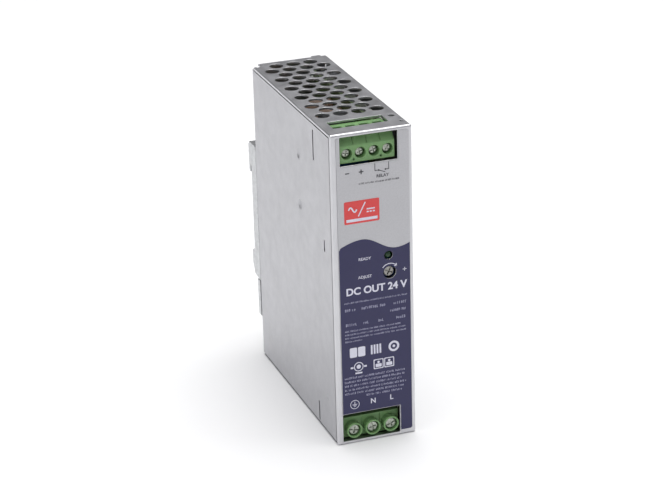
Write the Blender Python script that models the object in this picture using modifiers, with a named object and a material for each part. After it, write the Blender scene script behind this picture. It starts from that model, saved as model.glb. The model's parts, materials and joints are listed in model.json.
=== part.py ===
"""Slim 35 mm rail power supply, modelled as the separate pieces that it comes apart into.

Frame: metres. +X to the right seen from the front, +Y to the rear (into the rail), +Z up.
The origin is the centre of the rail seat. Lengths below are written in millimetres, times MM.
"""
import math

import bmesh
import bpy
from mathutils import Matrix, Vector

MM = 0.001

# ---- driving dimensions -------------------------------------------------------------------
WIDTH = 32.0 * MM
HEIGHT = 125.2 * MM
FRONT_Y = -99.0 * MM            # front of the label
CASE_REAR_Y = -6.5 * MM         # back of the rear wall
SHEET = 0.8 * MM                # sheet metal
BEND = 0.9 * MM                 # outer radius of the chassis folds
COVER_BEND = 2.5 * MM           # outer radius of the cover's fold
GAP = 0.3 * MM                  # between pieces that touch
LABEL_THICK = 0.2 * MM
LABEL_GAP = 0.1 * MM

LEFT_X = -WIDTH / 2
RIGHT_X = WIDTH / 2
TOP_Z = HEIGHT / 2
PANEL_FRONT_Y = FRONT_Y + LABEL_THICK + LABEL_GAP      # front face of the metal
PLATE_REAR_Y = CASE_REAR_Y                             # rear edge of the top and bottom plates
COVER_HALF_Z = TOP_Z - BEND - GAP                      # the cover stands between those plates
COVER_FRONT_Y = PANEL_FRONT_Y + BEND + GAP
FLANGE = 6.5 * MM                                      # stepped-in flanges behind the cover
FLANGE_X = (LEFT_X + SHEET + GAP, LEFT_X + 2 * SHEET + GAP)
REAR_ROOM_Y = CASE_REAR_Y - SHEET - GAP                # what is inside ends in front of this

CORNER_CUT = 3.0 * MM           # cut corner of the plates, at the rear left
TAB_X = (9.5 * MM, 13.5 * MM)   # tab on the rear edge of the top and bottom plates

# vents: rows of four and three holes by turns
VENT_RADIUS = 2.75 * MM
VENT_PITCH_X = 7.13 * MM
VENT_PITCH_Y = 5.85 * MM
VENT_FIRST_Y = -76.2 * MM
VENT_ROWS = 12
VENT_SIDES = 10

# openings of the front and of the top and bottom faces, as (low, high)
OUTPUT_WINDOW_X = (-12.3 * MM, 10.2 * MM)
OUTPUT_WINDOW_Z = (50.1 * MM, 61.3 * MM)
INPUT_WINDOW_X = (-13.6 * MM, 9.6 * MM)
INPUT_WINDOW_Z = (-61.3 * MM, -50.0 * MM)
WIRE_WINDOW_X = (-12.0 * MM, 9.5 * MM)
WIRE_WINDOW_Y = (-91.7 * MM, -84.0 * MM)
LABEL_X = (-13.8 * MM, 14.6 * MM)
LABEL_Z = (-60.4 * MM, 61.2 * MM)
TOP_HOLES = ((12.8 * MM, -86.1 * MM, 1.2 * MM), (14.0 * MM, -93.0 * MM, 0.8 * MM))    # x, y, radius

# details of the side cover: y and z range of each slot, the lance, and the pressed dimples
SLOT_HALF = 0.4 * MM
SLOTS = ((-79.8 * MM, (47.0 * MM, 59.1 * MM)), (-78.3 * MM, (-60.8 * MM, -52.4 * MM)))
LANCE_Y, LANCE_Z = (-90.3 * MM, -88.8 * MM), (14.2 * MM, 18.7 * MM)
DIMPLES = ((-63.0 * MM, 43.9 * MM), (-63.0 * MM, 23.7 * MM))
DIMPLE_RADIUS, DIMPLE_DEPTH = 2.2 * MM, 0.35 * MM

# indicator and voltage trimmer, on the front
LED_X, LED_Z, LED_RADIUS = 5.9 * MM, 12.7 * MM, 1.45 * MM
TRIM_X, TRIM_Z, TRIM_RADIUS = 6.3 * MM, 5.8 * MM, 2.0 * MM

# boards
BOARD_X = (7.6 * MM, 9.2 * MM)
BOARD_FRONT_Y = -77.9 * MM
BOARD_REAR_Y = -9.0 * MM
BOARD_HALF_Z = 59.0 * MM
TERMINAL_BOARD_Y = (-80.6 * MM, -79.0 * MM)
SOLDER_X = BOARD_X[0] - GAP     # components stand from here towards the left
PILLARS = ((-13.0 * MM, 55.5 * MM), (-13.0 * MM, -55.5 * MM))

# rail
RAIL_HALF = 17.5 * MM           # 35 mm top-hat rail
CHEEK = 2.0 * MM
BRACKET_HALF_X = 15.5 * MM
BRACKET_FRONT_Y = CASE_REAR_Y + GAP
TUNNEL_Y = (-5.2 * MM, -1.4 * MM)      # room for the latch plate, behind the case
LATCH_HALF_X = 12.6 * MM
BRACKET_SCREWS = ((-9.0 * MM, 22.0 * MM), (9.0 * MM, 22.0 * MM))
SCREW_RADIUS = 1.5 * MM                # M3
SEAT_Y = -3.0 * MM                     # bottom of the counterbores of the bracket's screws
PILLAR_RADIUS, PILLAR_BORE = 2.8 * MM, 1.8 * MM

OBJECT_NAME = "din_rail_power_supply"


# ---- scene and materials ------------------------------------------------------------------
for old in list(bpy.data.objects):
    bpy.data.objects.remove(old, do_unlink=True)

PARTS = bpy.data.collections.new(OBJECT_NAME)
CUTTERS = bpy.data.collections.new("cutters")
for new_collection in (PARTS, CUTTERS):
    bpy.context.scene.collection.children.link(new_collection)


def material(name, colour, roughness, metallic=0.0):
    made = bpy.data.materials.new(name)
    made.use_nodes = True
    shader = made.node_tree.nodes["Principled BSDF"]
    shader.inputs["Base Color"].default_value = (*colour, 1.0)
    shader.inputs["Roughness"].default_value = roughness
    shader.inputs["Metallic"].default_value = metallic
    made.diffuse_color = (*colour, 1.0)
    return made


# ---- shape helpers ------------------------------------------------------------------------
def finish(mesh, name, paint, origin=(0.0, 0.0, 0.0)):
    """Make a part of a mesh in world coordinates, with its origin at the given point."""
    mesh.transform(Matrix.Translation(-Vector(origin)))
    part = bpy.data.objects.new(name, mesh)
    part.location = origin
    mesh.name = name
    if paint is None:
        CUTTERS.objects.link(part)
        part.hide_render = True
        part.display_type = "WIRE"
    else:
        PARTS.objects.link(part)
        own = paint.copy()
        own.name = name
        mesh.materials.clear()
        mesh.materials.append(own)
        mesh.shade_smooth()
        mesh.set_sharp_from_angle(angle=math.radians(35.0))
    return part


def mesh_from(bm, name):
    mesh = bpy.data.meshes.new(name)
    bm.to_mesh(mesh)
    bm.free()
    return mesh


def add_box(bm, x, y, z):
    """A box between the given (low, high) pairs."""
    size = Matrix.Diagonal((x[1] - x[0], y[1] - y[0], z[1] - z[0], 1.0))
    middle = Vector(((x[0] + x[1]) / 2, (y[0] + y[1]) / 2, (z[0] + z[1]) / 2))
    return bmesh.ops.create_cube(bm, size=1.0, matrix=Matrix.Translation(middle) @ size)


TURN_TO = {
    "X": Matrix.Rotation(math.radians(90.0), 4, "Y"),
    "Y": Matrix.Rotation(math.radians(-90.0), 4, "X"),
    "Z": Matrix.Identity(4),
}


def add_cylinder(bm, axis, centre, radius, low, high, sides=16):
    """A cylinder along an axis; centre holds the two other coordinates, in X, Y, Z order."""
    spot = list(centre)
    spot.insert("XYZ".index(axis), (low + high) / 2)
    place = Matrix.Translation(spot) @ TURN_TO[axis]
    bmesh.ops.create_cone(bm, cap_ends=True, segments=sides, radius1=radius, radius2=radius,
                          depth=high - low, matrix=place)


def box(name, x, y, z, paint, origin=(0.0, 0.0, 0.0)):
    bm = bmesh.new()
    add_box(bm, x, y, z)
    return finish(mesh_from(bm, name), name, paint, origin)


def curve_to_mesh(curve, place):
    """The welded mesh of a curve object's evaluated form, in world coordinates."""
    guide = bpy.data.objects.new(curve.name, curve)
    CUTTERS.objects.link(guide)
    guide.matrix_world = place
    bpy.context.view_layer.update()
    ready = guide.evaluated_get(bpy.context.evaluated_depsgraph_get())
    mesh = bpy.data.meshes.new_from_object(ready)
    bm = bmesh.new()
    bm.from_mesh(mesh)
    bmesh.ops.remove_doubles(bm, verts=bm.verts, dist=0.001 * MM)
    bm.transform(place)
    bm.to_mesh(mesh)
    bm.free()
    bpy.data.objects.remove(guide, do_unlink=True)
    return mesh


# columns: where the outline's first axis, second axis and thickness point
ACROSS_X = Matrix(((0, 0, 1, 0), (1, 0, 0, 0), (0, 1, 0, 0), (0, 0, 0, 1)))       # (Y, Z) outline
ACROSS_Y = Matrix(((1, 0, 0, 0), (0, 0, -1, 0), (0, 1, 0, 0), (0, 0, 0, 1)))      # (X, Z) outline


def outline(name, points, low, high, turn, paint, origin=(0.0, 0.0, 0.0)):
    """A flat outline given in millimetres, made as thick as low to high along the third axis."""
    curve = bpy.data.curves.new(name, "CURVE")
    curve.dimensions = "2D"
    curve.fill_mode = "BOTH"
    curve.extrude = (high - low) / 2
    spline = curve.splines.new("POLY")
    spline.points.add(len(points) - 1)
    for spot, (a, b) in zip(spline.points, points):
        spot.co = (a * MM, b * MM, 0.0, 1.0)
    spline.use_cyclic_u = True
    middle = (low + high) / 2
    shift = turn @ Vector((0.0, 0.0, middle))
    return finish(curve_to_mesh(curve, Matrix.Translation(shift) @ turn), name, paint, origin)


def turned(name, profile, centre, axis, paint, steps=16):
    """A turned piece. The profile runs from its top to its bottom as (radius, height) in mm."""
    bm = bmesh.new()
    spots = [bm.verts.new((radius * MM, 0.0, height * MM)) for radius, height in profile]
    for first, second in zip(spots, spots[1:]):
        bm.edges.new((first, second))
    part = finish(mesh_from(bm, name), name, paint)
    screw = part.modifiers.new("turn", "SCREW")
    screw.axis = "Z"
    screw.steps = steps
    screw.render_steps = steps
    screw.use_merge_vertices = True
    screw.merge_threshold = 0.01 * MM
    screw.use_smooth_shade = True
    part.matrix_world = Matrix.Translation(centre) @ axis
    return part


TOWARDS_FRONT = Matrix.Rotation(math.radians(90.0), 4, "X")      # profile's top at the front
TOWARDS_LEFT = Matrix.Rotation(math.radians(-90.0), 4, "Y")      # profile's top at the left
UPWARDS = Matrix.Identity(4)


def boolean(part, tool, operation):
    step = part.modifiers.new(operation.lower(), "BOOLEAN")
    step.operation = operation
    step.solver = "EXACT"
    step.object = tool
    return part


def cut(part, name, boxes=(), cylinders=()):
    """Cut separate boxes and cylinders out of a part."""
    bm = bmesh.new()
    for x, y, z in boxes:
        add_box(bm, x, y, z)
    for one in cylinders:
        add_cylinder(bm, *one)
    return boolean(part, finish(mesh_from(bm, name), name, None), "DIFFERENCE")


def bevelled_box(name, x, y, z, width, paint):
    """A box with all edges eased."""
    part = box(name, x, y, z, paint)
    ease = part.modifiers.new("ease", "BEVEL")
    ease.width = width
    ease.segments = 1
    ease.limit_method = "ANGLE"
    return part


def folded_shell(name, x, y, z, open_sides, radius, paint):
    """Sheet metal folded along a box's edges: the box less its open sides, thickened inwards."""
    bm = bmesh.new()
    add_box(bm, x, y, z)
    gone = [f for f in bm.faces if any(f.normal.dot(Vector(way)) > 0.9 for way in open_sides)]
    bmesh.ops.delete(bm, geom=gone, context="FACES")
    folds = [e for e in bm.edges if len(e.link_faces) == 2]
    bmesh.ops.bevel(bm, geom=folds, offset=radius, offset_type="OFFSET", segments=3,
                    profile=0.5, affect="EDGES")
    part = finish(mesh_from(bm, name), name, paint)
    thicken = part.modifiers.new("thickness", "SOLIDIFY")
    thicken.thickness = SHEET
    thicken.offset = -1.0
    thicken.use_even_offset = True
    return part


# ---- finishes -----------------------------------------------------------------------------
ZINC = material("zinc_sheet", (0.56, 0.56, 0.58), 0.38, 1.0)
STEEL = material("steel", (0.62, 0.62, 0.62), 0.30, 1.0)
COPPER = material("copper", (0.72, 0.42, 0.24), 0.35, 1.0)
ALUMINIUM = material("aluminium", (0.72, 0.72, 0.73), 0.40, 1.0)
TERMINAL_GREEN = material("green_polyamide", (0.16, 0.36, 0.13), 0.45)
LABEL_FILM = material("label_film", (0.06, 0.06, 0.16), 0.40)
FIBREGLASS = material("green_board", (0.10, 0.22, 0.09), 0.50)
FERRITE = material("ferrite", (0.05, 0.05, 0.05), 0.60)
BLACK_RESIN = material("black_resin", (0.03, 0.03, 0.03), 0.45)
TAPE = material("yellow_tape", (0.70, 0.50, 0.08), 0.40)
SLEEVE = material("brown_sleeve", (0.16, 0.08, 0.04), 0.40)
FILM = material("insulating_film", (0.75, 0.76, 0.72), 0.35)
BLUE = material("blue_case", (0.05, 0.14, 0.42), 0.40)
GREY_PLASTIC = material("grey_plastic", (0.35, 0.35, 0.34), 0.50)
CERAMIC = material("ceramic", (0.80, 0.78, 0.72), 0.50)
GREEN_LENS = material("green_lens", (0.10, 0.35, 0.12), 0.15)


# ---- casing -------------------------------------------------------------------------------
def vent_cylinders(low, high):
    """Staggered round vents through a level plate."""
    holes = []
    for row in range(VENT_ROWS):
        count = 4 - row % 2
        for place in range(count):
            x = (place - (count - 1) / 2) * VENT_PITCH_X
            y = VENT_FIRST_Y + row * VENT_PITCH_Y
            holes.append(("Z", (x, y), VENT_RADIUS, low, high, VENT_SIDES))
    return holes


def make_chassis():
    """Front, top, bottom and right-hand wall in one folded sheet, with flanges on the left."""
    part = folded_shell("chassis", (LEFT_X, RIGHT_X), (PANEL_FRONT_Y, PLATE_REAR_Y),
                        (-TOP_Z, TOP_Z), [(0, 1, 0)], BEND, ZINC)
    past = 1.0 * MM
    inner_z = TOP_Z - SHEET
    open_sides = bmesh.new()
    add_box(open_sides, (LEFT_X - past, LEFT_X + SHEET + 0.05 * MM),
            (PANEL_FRONT_Y + BEND, 0.0), (-TOP_Z + BEND, TOP_Z - BEND))
    boolean(part, finish(mesh_from(open_sides, "chassis_side"), "chassis_side", None),
            "DIFFERENCE")
    make_chassis_additions(part, inner_z)
    front = (FRONT_Y - past, PANEL_FRONT_Y + SHEET + 0.2 * MM)
    openings = [
        (OUTPUT_WINDOW_X, front, OUTPUT_WINDOW_Z),
        (INPUT_WINDOW_X, front, INPUT_WINDOW_Z),
        (WIRE_WINDOW_X, WIRE_WINDOW_Y, (inner_z - past, TOP_Z + past)),
        (WIRE_WINDOW_X, WIRE_WINDOW_Y, (-TOP_Z - past, -inner_z + past)),
    ]
    rounds = [
        ("Y", (LED_X, LED_Z), LED_RADIUS + GAP, *front, 16),
        ("Y", (TRIM_X, TRIM_Z), TRIM_RADIUS + 2 * GAP, *front, 16),
    ]
    rounds += [("Z", (x, y), radius, inner_z - past, TOP_Z + past, 10) for x, y, radius in TOP_HOLES]
    rounds += vent_cylinders(inner_z - past, TOP_Z + past)
    rounds += vent_cylinders(-TOP_Z - past, -inner_z + past)
    rounds += [("X", spot, PILLAR_BORE, BOARD_X[1], 13.5 * MM, 12) for spot in PILLARS]
    cut(part, "chassis_openings", openings, rounds)
    half = CORNER_CUT / math.sqrt(2.0)
    bm = bmesh.new()
    add_box(bm, (-half, half), (-2 * half, 2 * half), (-TOP_Z - past, TOP_Z + past))
    bm.transform(Matrix.Translation((LEFT_X, PLATE_REAR_Y, 0.0))
                 @ Matrix.Rotation(math.radians(45.0), 4, "Z"))
    boolean(part, finish(mesh_from(bm, "chassis_corner"), "chassis_corner", None), "DIFFERENCE")


def make_chassis_additions(part, inner_z):
    """Stepped-in flanges that the cover lies on, locating tabs and the board's pillars."""
    sunk = 0.1 * MM                 # how far each addition goes into the sheet
    front = PANEL_FRONT_Y + SHEET - sunk
    frame = outline("chassis_flanges",
                    [(front / MM, -inner_z / MM - 0.1), (REAR_ROOM_Y / MM, -inner_z / MM - 0.1),
                     (REAR_ROOM_Y / MM, inner_z / MM + 0.1), (front / MM, inner_z / MM + 0.1)],
                    *FLANGE_X, ACROSS_X, None)
    cut(frame, "flange_opening", [((LEFT_X, 0.0), (PANEL_FRONT_Y + SHEET + FLANGE, 0.0),
                                   (-inner_z + FLANGE, inner_z - FLANGE))])
    boolean(part, frame, "UNION")
    tabs = bmesh.new()
    for side in (-1, 1):
        edges = sorted((side * TOP_Z, side * inner_z))
        add_box(tabs, TAB_X, (PLATE_REAR_Y - MM, PLATE_REAR_Y + 1.4 * MM), edges)
    for y, z in PILLARS:
        add_cylinder(tabs, "X", (y, z), PILLAR_RADIUS, BOARD_X[1] + GAP, RIGHT_X - SHEET / 2, 12)
    boolean(part, finish(mesh_from(tabs, "chassis_tabs"), "chassis_tabs", None), "UNION")


def make_side_cover():
    """Left-hand wall and rear wall in one folded sheet."""
    part = folded_shell("side_cover", (LEFT_X, RIGHT_X - SHEET - GAP), (COVER_FRONT_Y, CASE_REAR_Y),
                        (-COVER_HALF_Z, COVER_HALF_Z),
                        [(1, 0, 0), (0, -1, 0), (0, 0, 1), (0, 0, -1)], COVER_BEND, ZINC)
    wall = (LEFT_X - SHEET, LEFT_X + 2 * SHEET)
    boxes = [(wall, (y - SLOT_HALF, y + SLOT_HALF), z) for y, z in SLOTS]
    boxes.append((wall, LANCE_Y, LANCE_Z))
    dimple = (LEFT_X - SHEET, LEFT_X + DIMPLE_DEPTH)
    rounds = [("X", spot, DIMPLE_RADIUS, *dimple, 12) for spot in DIMPLES]
    rear = (CASE_REAR_Y - 2 * SHEET, CASE_REAR_Y + SHEET)
    rounds += [("Y", spot, SCREW_RADIUS + GAP, *rear, 12) for spot in BRACKET_SCREWS]
    cut(part, "side_cover_openings", boxes, rounds)


def make_front_label():
    """Printed film over the whole front, cut out round both terminal blocks."""
    margin = 0.3 * MM
    part = box("front_label", LABEL_X, (FRONT_Y, FRONT_Y + LABEL_THICK), LABEL_Z, LABEL_FILM)
    through = (FRONT_Y - MM, FRONT_Y + MM)
    boxes = [
        ((OUTPUT_WINDOW_X[0] - margin, OUTPUT_WINDOW_X[1] + margin), through,
         (OUTPUT_WINDOW_Z[0] - margin, TOP_Z)),
        ((INPUT_WINDOW_X[0] - MM, INPUT_WINDOW_X[1] + margin), through,
         (-TOP_Z, INPUT_WINDOW_Z[1] + margin)),
    ]
    rounds = [
        ("Y", (LED_X, LED_Z), LED_RADIUS + GAP, *through, 16),
        ("Y", (TRIM_X, TRIM_Z), TRIM_RADIUS + 2 * GAP, *through, 16),
    ]
    cut(part, "front_label_openings", boxes, rounds)


def make_insulation():
    """Film between the main board's solder side and the right-hand wall."""
    x = (12.2 * MM, 12.6 * MM)
    part = box("insulation_sheet", x, (-78.0 * MM, -9.5 * MM), (-58.5 * MM, 58.5 * MM), FILM)
    cut(part, "insulation_holes", (),
        [("X", spot, 3.2 * MM, x[0] - MM, x[1] + MM, 12) for spot in PILLARS])


# ---- rail bracket, latch and spring -------------------------------------------------------
LATCH_STOP_Z = (-10.0, -8.6)       # boss that carries the spring's lower end, mm
LATCH_WINDOW_Z = (-16.0, 8.9)      # slot of the latch plate round the spring and boss, mm
SPRING_Y = -3.3 * MM
SPRING_RADIUS = 1.35 * MM
SPRING_WIRE = 0.25 * MM
SPRING_TURNS = 7


def make_rail_bracket():
    """Bracket with a fixed upper hook, two cheeks and a tunnel for the latch plate."""
    front = BRACKET_FRONT_Y / MM
    seat_end = RAIL_HALF / MM + 0.4
    points = [(front, 28.0), (1.8, 28.0), (3.0, 26.5), (3.0, 16.2), (2.4, 15.0), (1.4, 15.0),
              (1.4, seat_end), (0.0, seat_end), (0.0, -18.6), (3.0, -19.6), (3.0, -25.0),
              (0.5, -29.6), (front, -30.2)]
    part = outline("rail_bracket", points, -BRACKET_HALF_X, BRACKET_HALF_X, ACROSS_X, ZINC)
    inside = BRACKET_HALF_X - CHEEK
    low, high = -32.0 * MM, 12.0 * MM
    web = 3.0 * MM
    room = bmesh.new()
    add_box(room, (-inside, inside), TUNNEL_Y, (low, high))
    for z in ((web, high), (low, -web)):
        above = bmesh.new()
        add_box(above, (-inside, inside), (TUNNEL_Y[1] - MM, 6.0 * MM), z)
        name = "bracket_pocket_upper" if z[0] > 0 else "bracket_pocket_lower"
        boolean(part, finish(mesh_from(above, name), name, None), "DIFFERENCE")
    boolean(part, finish(mesh_from(room, "bracket_tunnel"), "bracket_tunnel", None), "DIFFERENCE")
    boss = box("bracket_boss", (-1.5 * MM, 1.5 * MM), (TUNNEL_Y[0] - 0.5 * MM, -2.3 * MM),
               [z * MM for z in LATCH_STOP_Z], None)
    boolean(part, boss, "UNION")
    head = 3.0 * MM + GAP
    cut(part, "bracket_holes", (),
        [("Y", spot, SCREW_RADIUS + GAP, BRACKET_FRONT_Y - MM, 0.0, 12) for spot in BRACKET_SCREWS])
    cut(part, "bracket_counterbores", (),
        [("Y", spot, head, SEAT_Y, 6.0 * MM, 16) for spot in BRACKET_SCREWS])
    for number, (x, z) in enumerate(BRACKET_SCREWS, 1):
        name = f"bracket_screw_{number}"
        profile = [(0.0, 2.0), (2.4, 2.0), (3.0, 1.2), (3.0, 0.0), (1.5, 0.0), (1.5, -6.2),
                   (0.0, -6.2)]
        screw = turned(name, profile, (x, SEAT_Y + GAP, z), TOWARDS_FRONT.inverted(), STEEL, 16)
        slot = box(name + "_slot", (x - 4 * MM, x + 4 * MM), (-1.4 * MM, 0.0),
                   (z - 0.4 * MM, z + 0.4 * MM), None)
        boolean(screw, slot, "DIFFERENCE")


def make_latch():
    """Sliding latch: plate in the bracket's tunnel, jaw under the rail, handle below."""
    plate = (-4.9, -2.5)
    points = [(plate[0], 11.4), (plate[1], 11.4), (plate[1], -18.9), (1.4, -18.9), (1.4, -15.2),
              (2.0, -15.2), (3.0, -17.4), (3.0, -22.8), (1.8, -24.6), (plate[1], -24.6),
              (plate[1], -32.0), (plate[0], -32.0)]
    part = outline("latch_slider", points, -LATCH_HALF_X, LATCH_HALF_X, ACROSS_X, ZINC)
    edge = BRACKET_HALF_X / MM
    shape = [(-edge, -30.6), (edge, -30.6), (edge, -46.0), (edge - 4.0, -51.0),
             (4.0 - edge, -51.0), (-edge, -46.0)]
    handle = outline("latch_handle", shape, 2.7 * MM, 5.5 * MM, ACROSS_Y, None)
    boolean(part, handle, "UNION")
    half = 2.1 * MM
    boxes = [
        ((-half, half), (-8.0 * MM, 0.0), [z * MM for z in LATCH_WINDOW_Z]),
        ((-4.5 * MM, 4.5 * MM), (-8.0 * MM, 0.0), (-47.5 * MM, -44.5 * MM)),
    ]
    cut(part, "latch_openings", boxes)


def make_latch_spring():
    """Compression spring between the bracket's boss and the top of the latch's window."""
    low = (LATCH_STOP_Z[1] * MM) + SPRING_WIRE + GAP
    high = (LATCH_WINDOW_Z[1] * MM) - SPRING_WIRE - GAP
    curve = bpy.data.curves.new("latch_spring", "CURVE")
    curve.dimensions = "3D"
    curve.bevel_depth = SPRING_WIRE
    curve.bevel_resolution = 1
    curve.use_fill_caps = True
    spline = curve.splines.new("POLY")
    count = SPRING_TURNS * 10 + 1
    spline.points.add(count - 1)
    for index, spot in enumerate(spline.points):
        along = index / (count - 1)
        angle = along * SPRING_TURNS * math.tau
        height = low + (high - low) * along
        spot.co = (SPRING_RADIUS * math.cos(angle), SPRING_Y + SPRING_RADIUS * math.sin(angle),
                   height, 1.0)
    finish(curve_to_mesh(curve, Matrix.Identity(4)), "latch_spring", STEEL)


# ---- terminal blocks ----------------------------------------------------------------------
class Pole:
    """Sizes of one kind of rising-cage terminal, in metres; 'up' is +1 if wires come from above."""

    def __init__(self, up, centres, screw_z, head, shank, cage, bar, travel, leg_z, y):
        self.up = up
        self.centres = centres
        self.screw_z = screw_z
        self.head_radius, self.head_front, self.head_thick = head
        self.shank_radius = shank
        self.cage_half_x, self.cage_half_z, self.cage_wall = cage
        self.bar_half_x, self.bar_thick = bar
        self.travel = travel
        self.leg_z = leg_z
        self.cage_front, self.cage_front_wall, self.bar_front, self.cage_rear = y


OUTPUT = Pole(up=1, centres=[(-1.2 + 5.3 * step) * MM for step in (-1.5, -0.5, 0.5, 1.5)],
              screw_z=54.2 * MM, head=(1.8 * MM, -96.4 * MM, 1.6 * MM), shank=1.0 * MM,
              cage=(1.85 * MM, 1.95 * MM, 0.55 * MM), bar=(0.95 * MM, 0.8 * MM),
              travel=2.0 * MM, leg_z=(51.5 * MM, 52.0 * MM),
              y=(-91.3 * MM, 1.4 * MM, -89.6 * MM, -86.4 * MM))
INPUT = Pole(up=-1, centres=[(-1.35 + 7.45 * step) * MM for step in (-1, 0, 1)],
             screw_z=-57.5 * MM, head=(2.2 * MM, -97.6 * MM, 1.8 * MM), shank=1.45 * MM,
             cage=(2.8 * MM, 2.1 * MM, 0.8 * MM), bar=(1.1 * MM, 1.0 * MM),
             travel=2.5 * MM, leg_z=(-54.9 * MM, -54.1 * MM),
             y=(-91.8 * MM, 1.6 * MM, -89.9 * MM, -86.0 * MM))


def span(centre, half):
    return (centre - half, centre + half)


def pole_cutters(kind, chamber_z, funnel_z, head_room, rear):
    """Cutters of one housing: chambers, wire funnels, contact slots, screw wells and bores."""
    chamber_front = kind.cage_front - kind.travel - GAP
    chamber_rear = kind.cage_rear + kind.cage_wall + GAP + 0.2 * MM
    bar_rear = kind.bar_front + kind.bar_thick
    chambers, funnels, slots, wells, bores = [], [], [], [], []
    for x in kind.centres:
        chambers.append((span(x, kind.cage_half_x + GAP), (chamber_front, chamber_rear), chamber_z))
        funnels.append((span(x, kind.cage_half_x - 0.1 * MM),
                        (bar_rear - 0.4 * MM, kind.cage_rear + 0.4 * MM), funnel_z))
        leg = (kind.leg_z[0] - GAP, kind.leg_z[1] + GAP)
        slots.append((span(x, kind.bar_half_x + GAP), (chamber_rear - MM, rear + MM), leg))
        wells.append(("Y", (x, kind.screw_z), kind.head_radius + GAP, FRONT_Y - 2 * MM,
                      head_room, 16))
        bores.append(("Y", (x, kind.screw_z), kind.shank_radius + GAP, head_room - MM,
                      chamber_front + 0.5 * MM, 12))
    return chambers, funnels, slots, wells, bores


def cut_poles(part, kind, chamber_z, funnel_z, rear):
    head_room = kind.head_front + kind.head_thick + GAP
    chambers, funnels, slots, wells, bores = pole_cutters(kind, chamber_z, funnel_z, head_room,
                                                          rear)
    cut(part, part.name + "_chambers", chambers)
    cut(part, part.name + "_funnels", funnels)
    cut(part, part.name + "_slots", slots)
    cut(part, part.name + "_wells", (), wells)
    cut(part, part.name + "_bores", (), bores)


def make_output_housing():
    """Block with a sloped upper face and sunk screws; wires come in from the top."""
    rear = -83.8
    points = [(-97.6, 50.7), (-97.6, 57.3), (-94.2, 61.3), (rear, 61.3), (rear, 50.7)]
    part = outline("output_terminal_housing", points, -11.9 * MM, 9.5 * MM, ACROSS_X,
                   TERMINAL_GREEN)
    cut_poles(part, OUTPUT, (51.2 * MM, 58.4 * MM), (58.0 * MM, 63.0 * MM), rear * MM)


def make_input_housing():
    """Block with a round collar in front of it for each screw; wires come in from below."""
    rear = -83.2
    points = [(-95.2, -61.4), (-95.2, -53.0), (rear, -53.0), (rear, -61.4)]
    part = outline("input_terminal_housing", points, -13.0 * MM, 10.1 * MM, ACROSS_X,
                   TERMINAL_GREEN)
    bm = bmesh.new()
    for x in INPUT.centres:
        add_cylinder(bm, "Y", (x, INPUT.screw_z), 3.1 * MM, -98.4 * MM, -94.5 * MM, 20)
    boolean(part, finish(mesh_from(bm, "input_collars"), "input_collars", None), "UNION")
    cut_poles(part, INPUT, (-60.0 * MM, -53.7 * MM), (-63.0 * MM, -59.6 * MM), rear * MM)


def make_pole_parts(prefix, kind):
    """Screw, cage clamp and contact bar of each pole."""
    shoulder = kind.head_front + kind.head_thick
    tip = kind.bar_front - GAP
    for number, x in enumerate(kind.centres, 1):
        make_terminal_screw(f"{prefix}_screw_{number}", kind, x, shoulder, tip)
        make_clamp(f"{prefix}_clamp_{number}", kind, x)
        make_contact(f"{prefix}_contact_{number}", kind, x)


def make_terminal_screw(name, kind, x, shoulder, tip):
    head, shank = kind.head_radius / MM, kind.shank_radius / MM
    top = kind.head_thick / MM
    ease = 0.25
    profile = [(0.0, top), (head - ease, top), (head, top - ease), (head, 0.0), (shank, 0.0),
               (shank, (shoulder - tip) / MM), (0.0, (shoulder - tip) / MM)]
    screw = turned(name, profile, (x, shoulder, kind.screw_z), TOWARDS_FRONT, STEEL)
    reach = kind.head_radius * 0.75
    thin = kind.head_radius * 0.16
    deep = (kind.head_front - MM, kind.head_front + 0.9 * MM)
    cross = bmesh.new()
    add_box(cross, span(x, kind.head_radius + MM), deep, span(kind.screw_z, thin))
    slot = finish(mesh_from(cross, name + "_slot"), name + "_slot", None)
    boolean(screw, slot, "DIFFERENCE")
    upright = box(name + "_cross", span(x, thin), deep, span(kind.screw_z, reach), None)
    boolean(screw, upright, "DIFFERENCE")


def make_clamp(name, kind, x):
    """Cage open above and below; its front wall is the nut of the screw."""
    rear = kind.cage_rear + kind.cage_wall
    z = span(kind.screw_z, kind.cage_half_z)
    part = box(name, span(x, kind.cage_half_x), (kind.cage_front, rear), z, STEEL,
               (x, kind.cage_front, kind.screw_z))
    inner = (span(x, kind.cage_half_x - kind.cage_wall),
             (kind.cage_front + kind.cage_front_wall, kind.cage_rear), (z[0] - MM, z[1] + MM))
    cut(part, name + "_inside", [inner])
    cut(part, name + "_thread", (), [("Y", (x, kind.screw_z), kind.shank_radius + GAP,
                                      kind.cage_front - MM,
                                      kind.cage_front + kind.cage_front_wall + 0.4 * MM, 12)])


def make_contact(name, kind, x):
    """Upright bar inside the cage, with a leg that runs back through the terminal board."""
    front, back = kind.bar_front / MM, (kind.bar_front + kind.bar_thick) / MM
    leg = [z / MM for z in kind.leg_z]
    tail = TERMINAL_BOARD_Y[1] / MM + 0.8
    far = (kind.screw_z + kind.up * (kind.cage_half_z + 0.4 * MM)) / MM
    near, inside = (leg[0], leg[1]) if kind.up > 0 else (leg[1], leg[0])
    points = [(front, far), (back, far), (back, inside), (tail, inside), (tail, near),
              (front, near)]
    outline(name, points, x - kind.bar_half_x, x + kind.bar_half_x, ACROSS_X, COPPER)


def make_terminal_board(name, kind, x, z):
    part = box(name, x, TERMINAL_BOARD_Y, z, FIBREGLASS)
    leg = (kind.leg_z[0] - GAP, kind.leg_z[1] + GAP)
    through = (TERMINAL_BOARD_Y[0] - MM, TERMINAL_BOARD_Y[1] + MM)
    cut(part, name + "_slots", [(span(c, kind.bar_half_x + GAP), through, leg)
                                for c in kind.centres])


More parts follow.
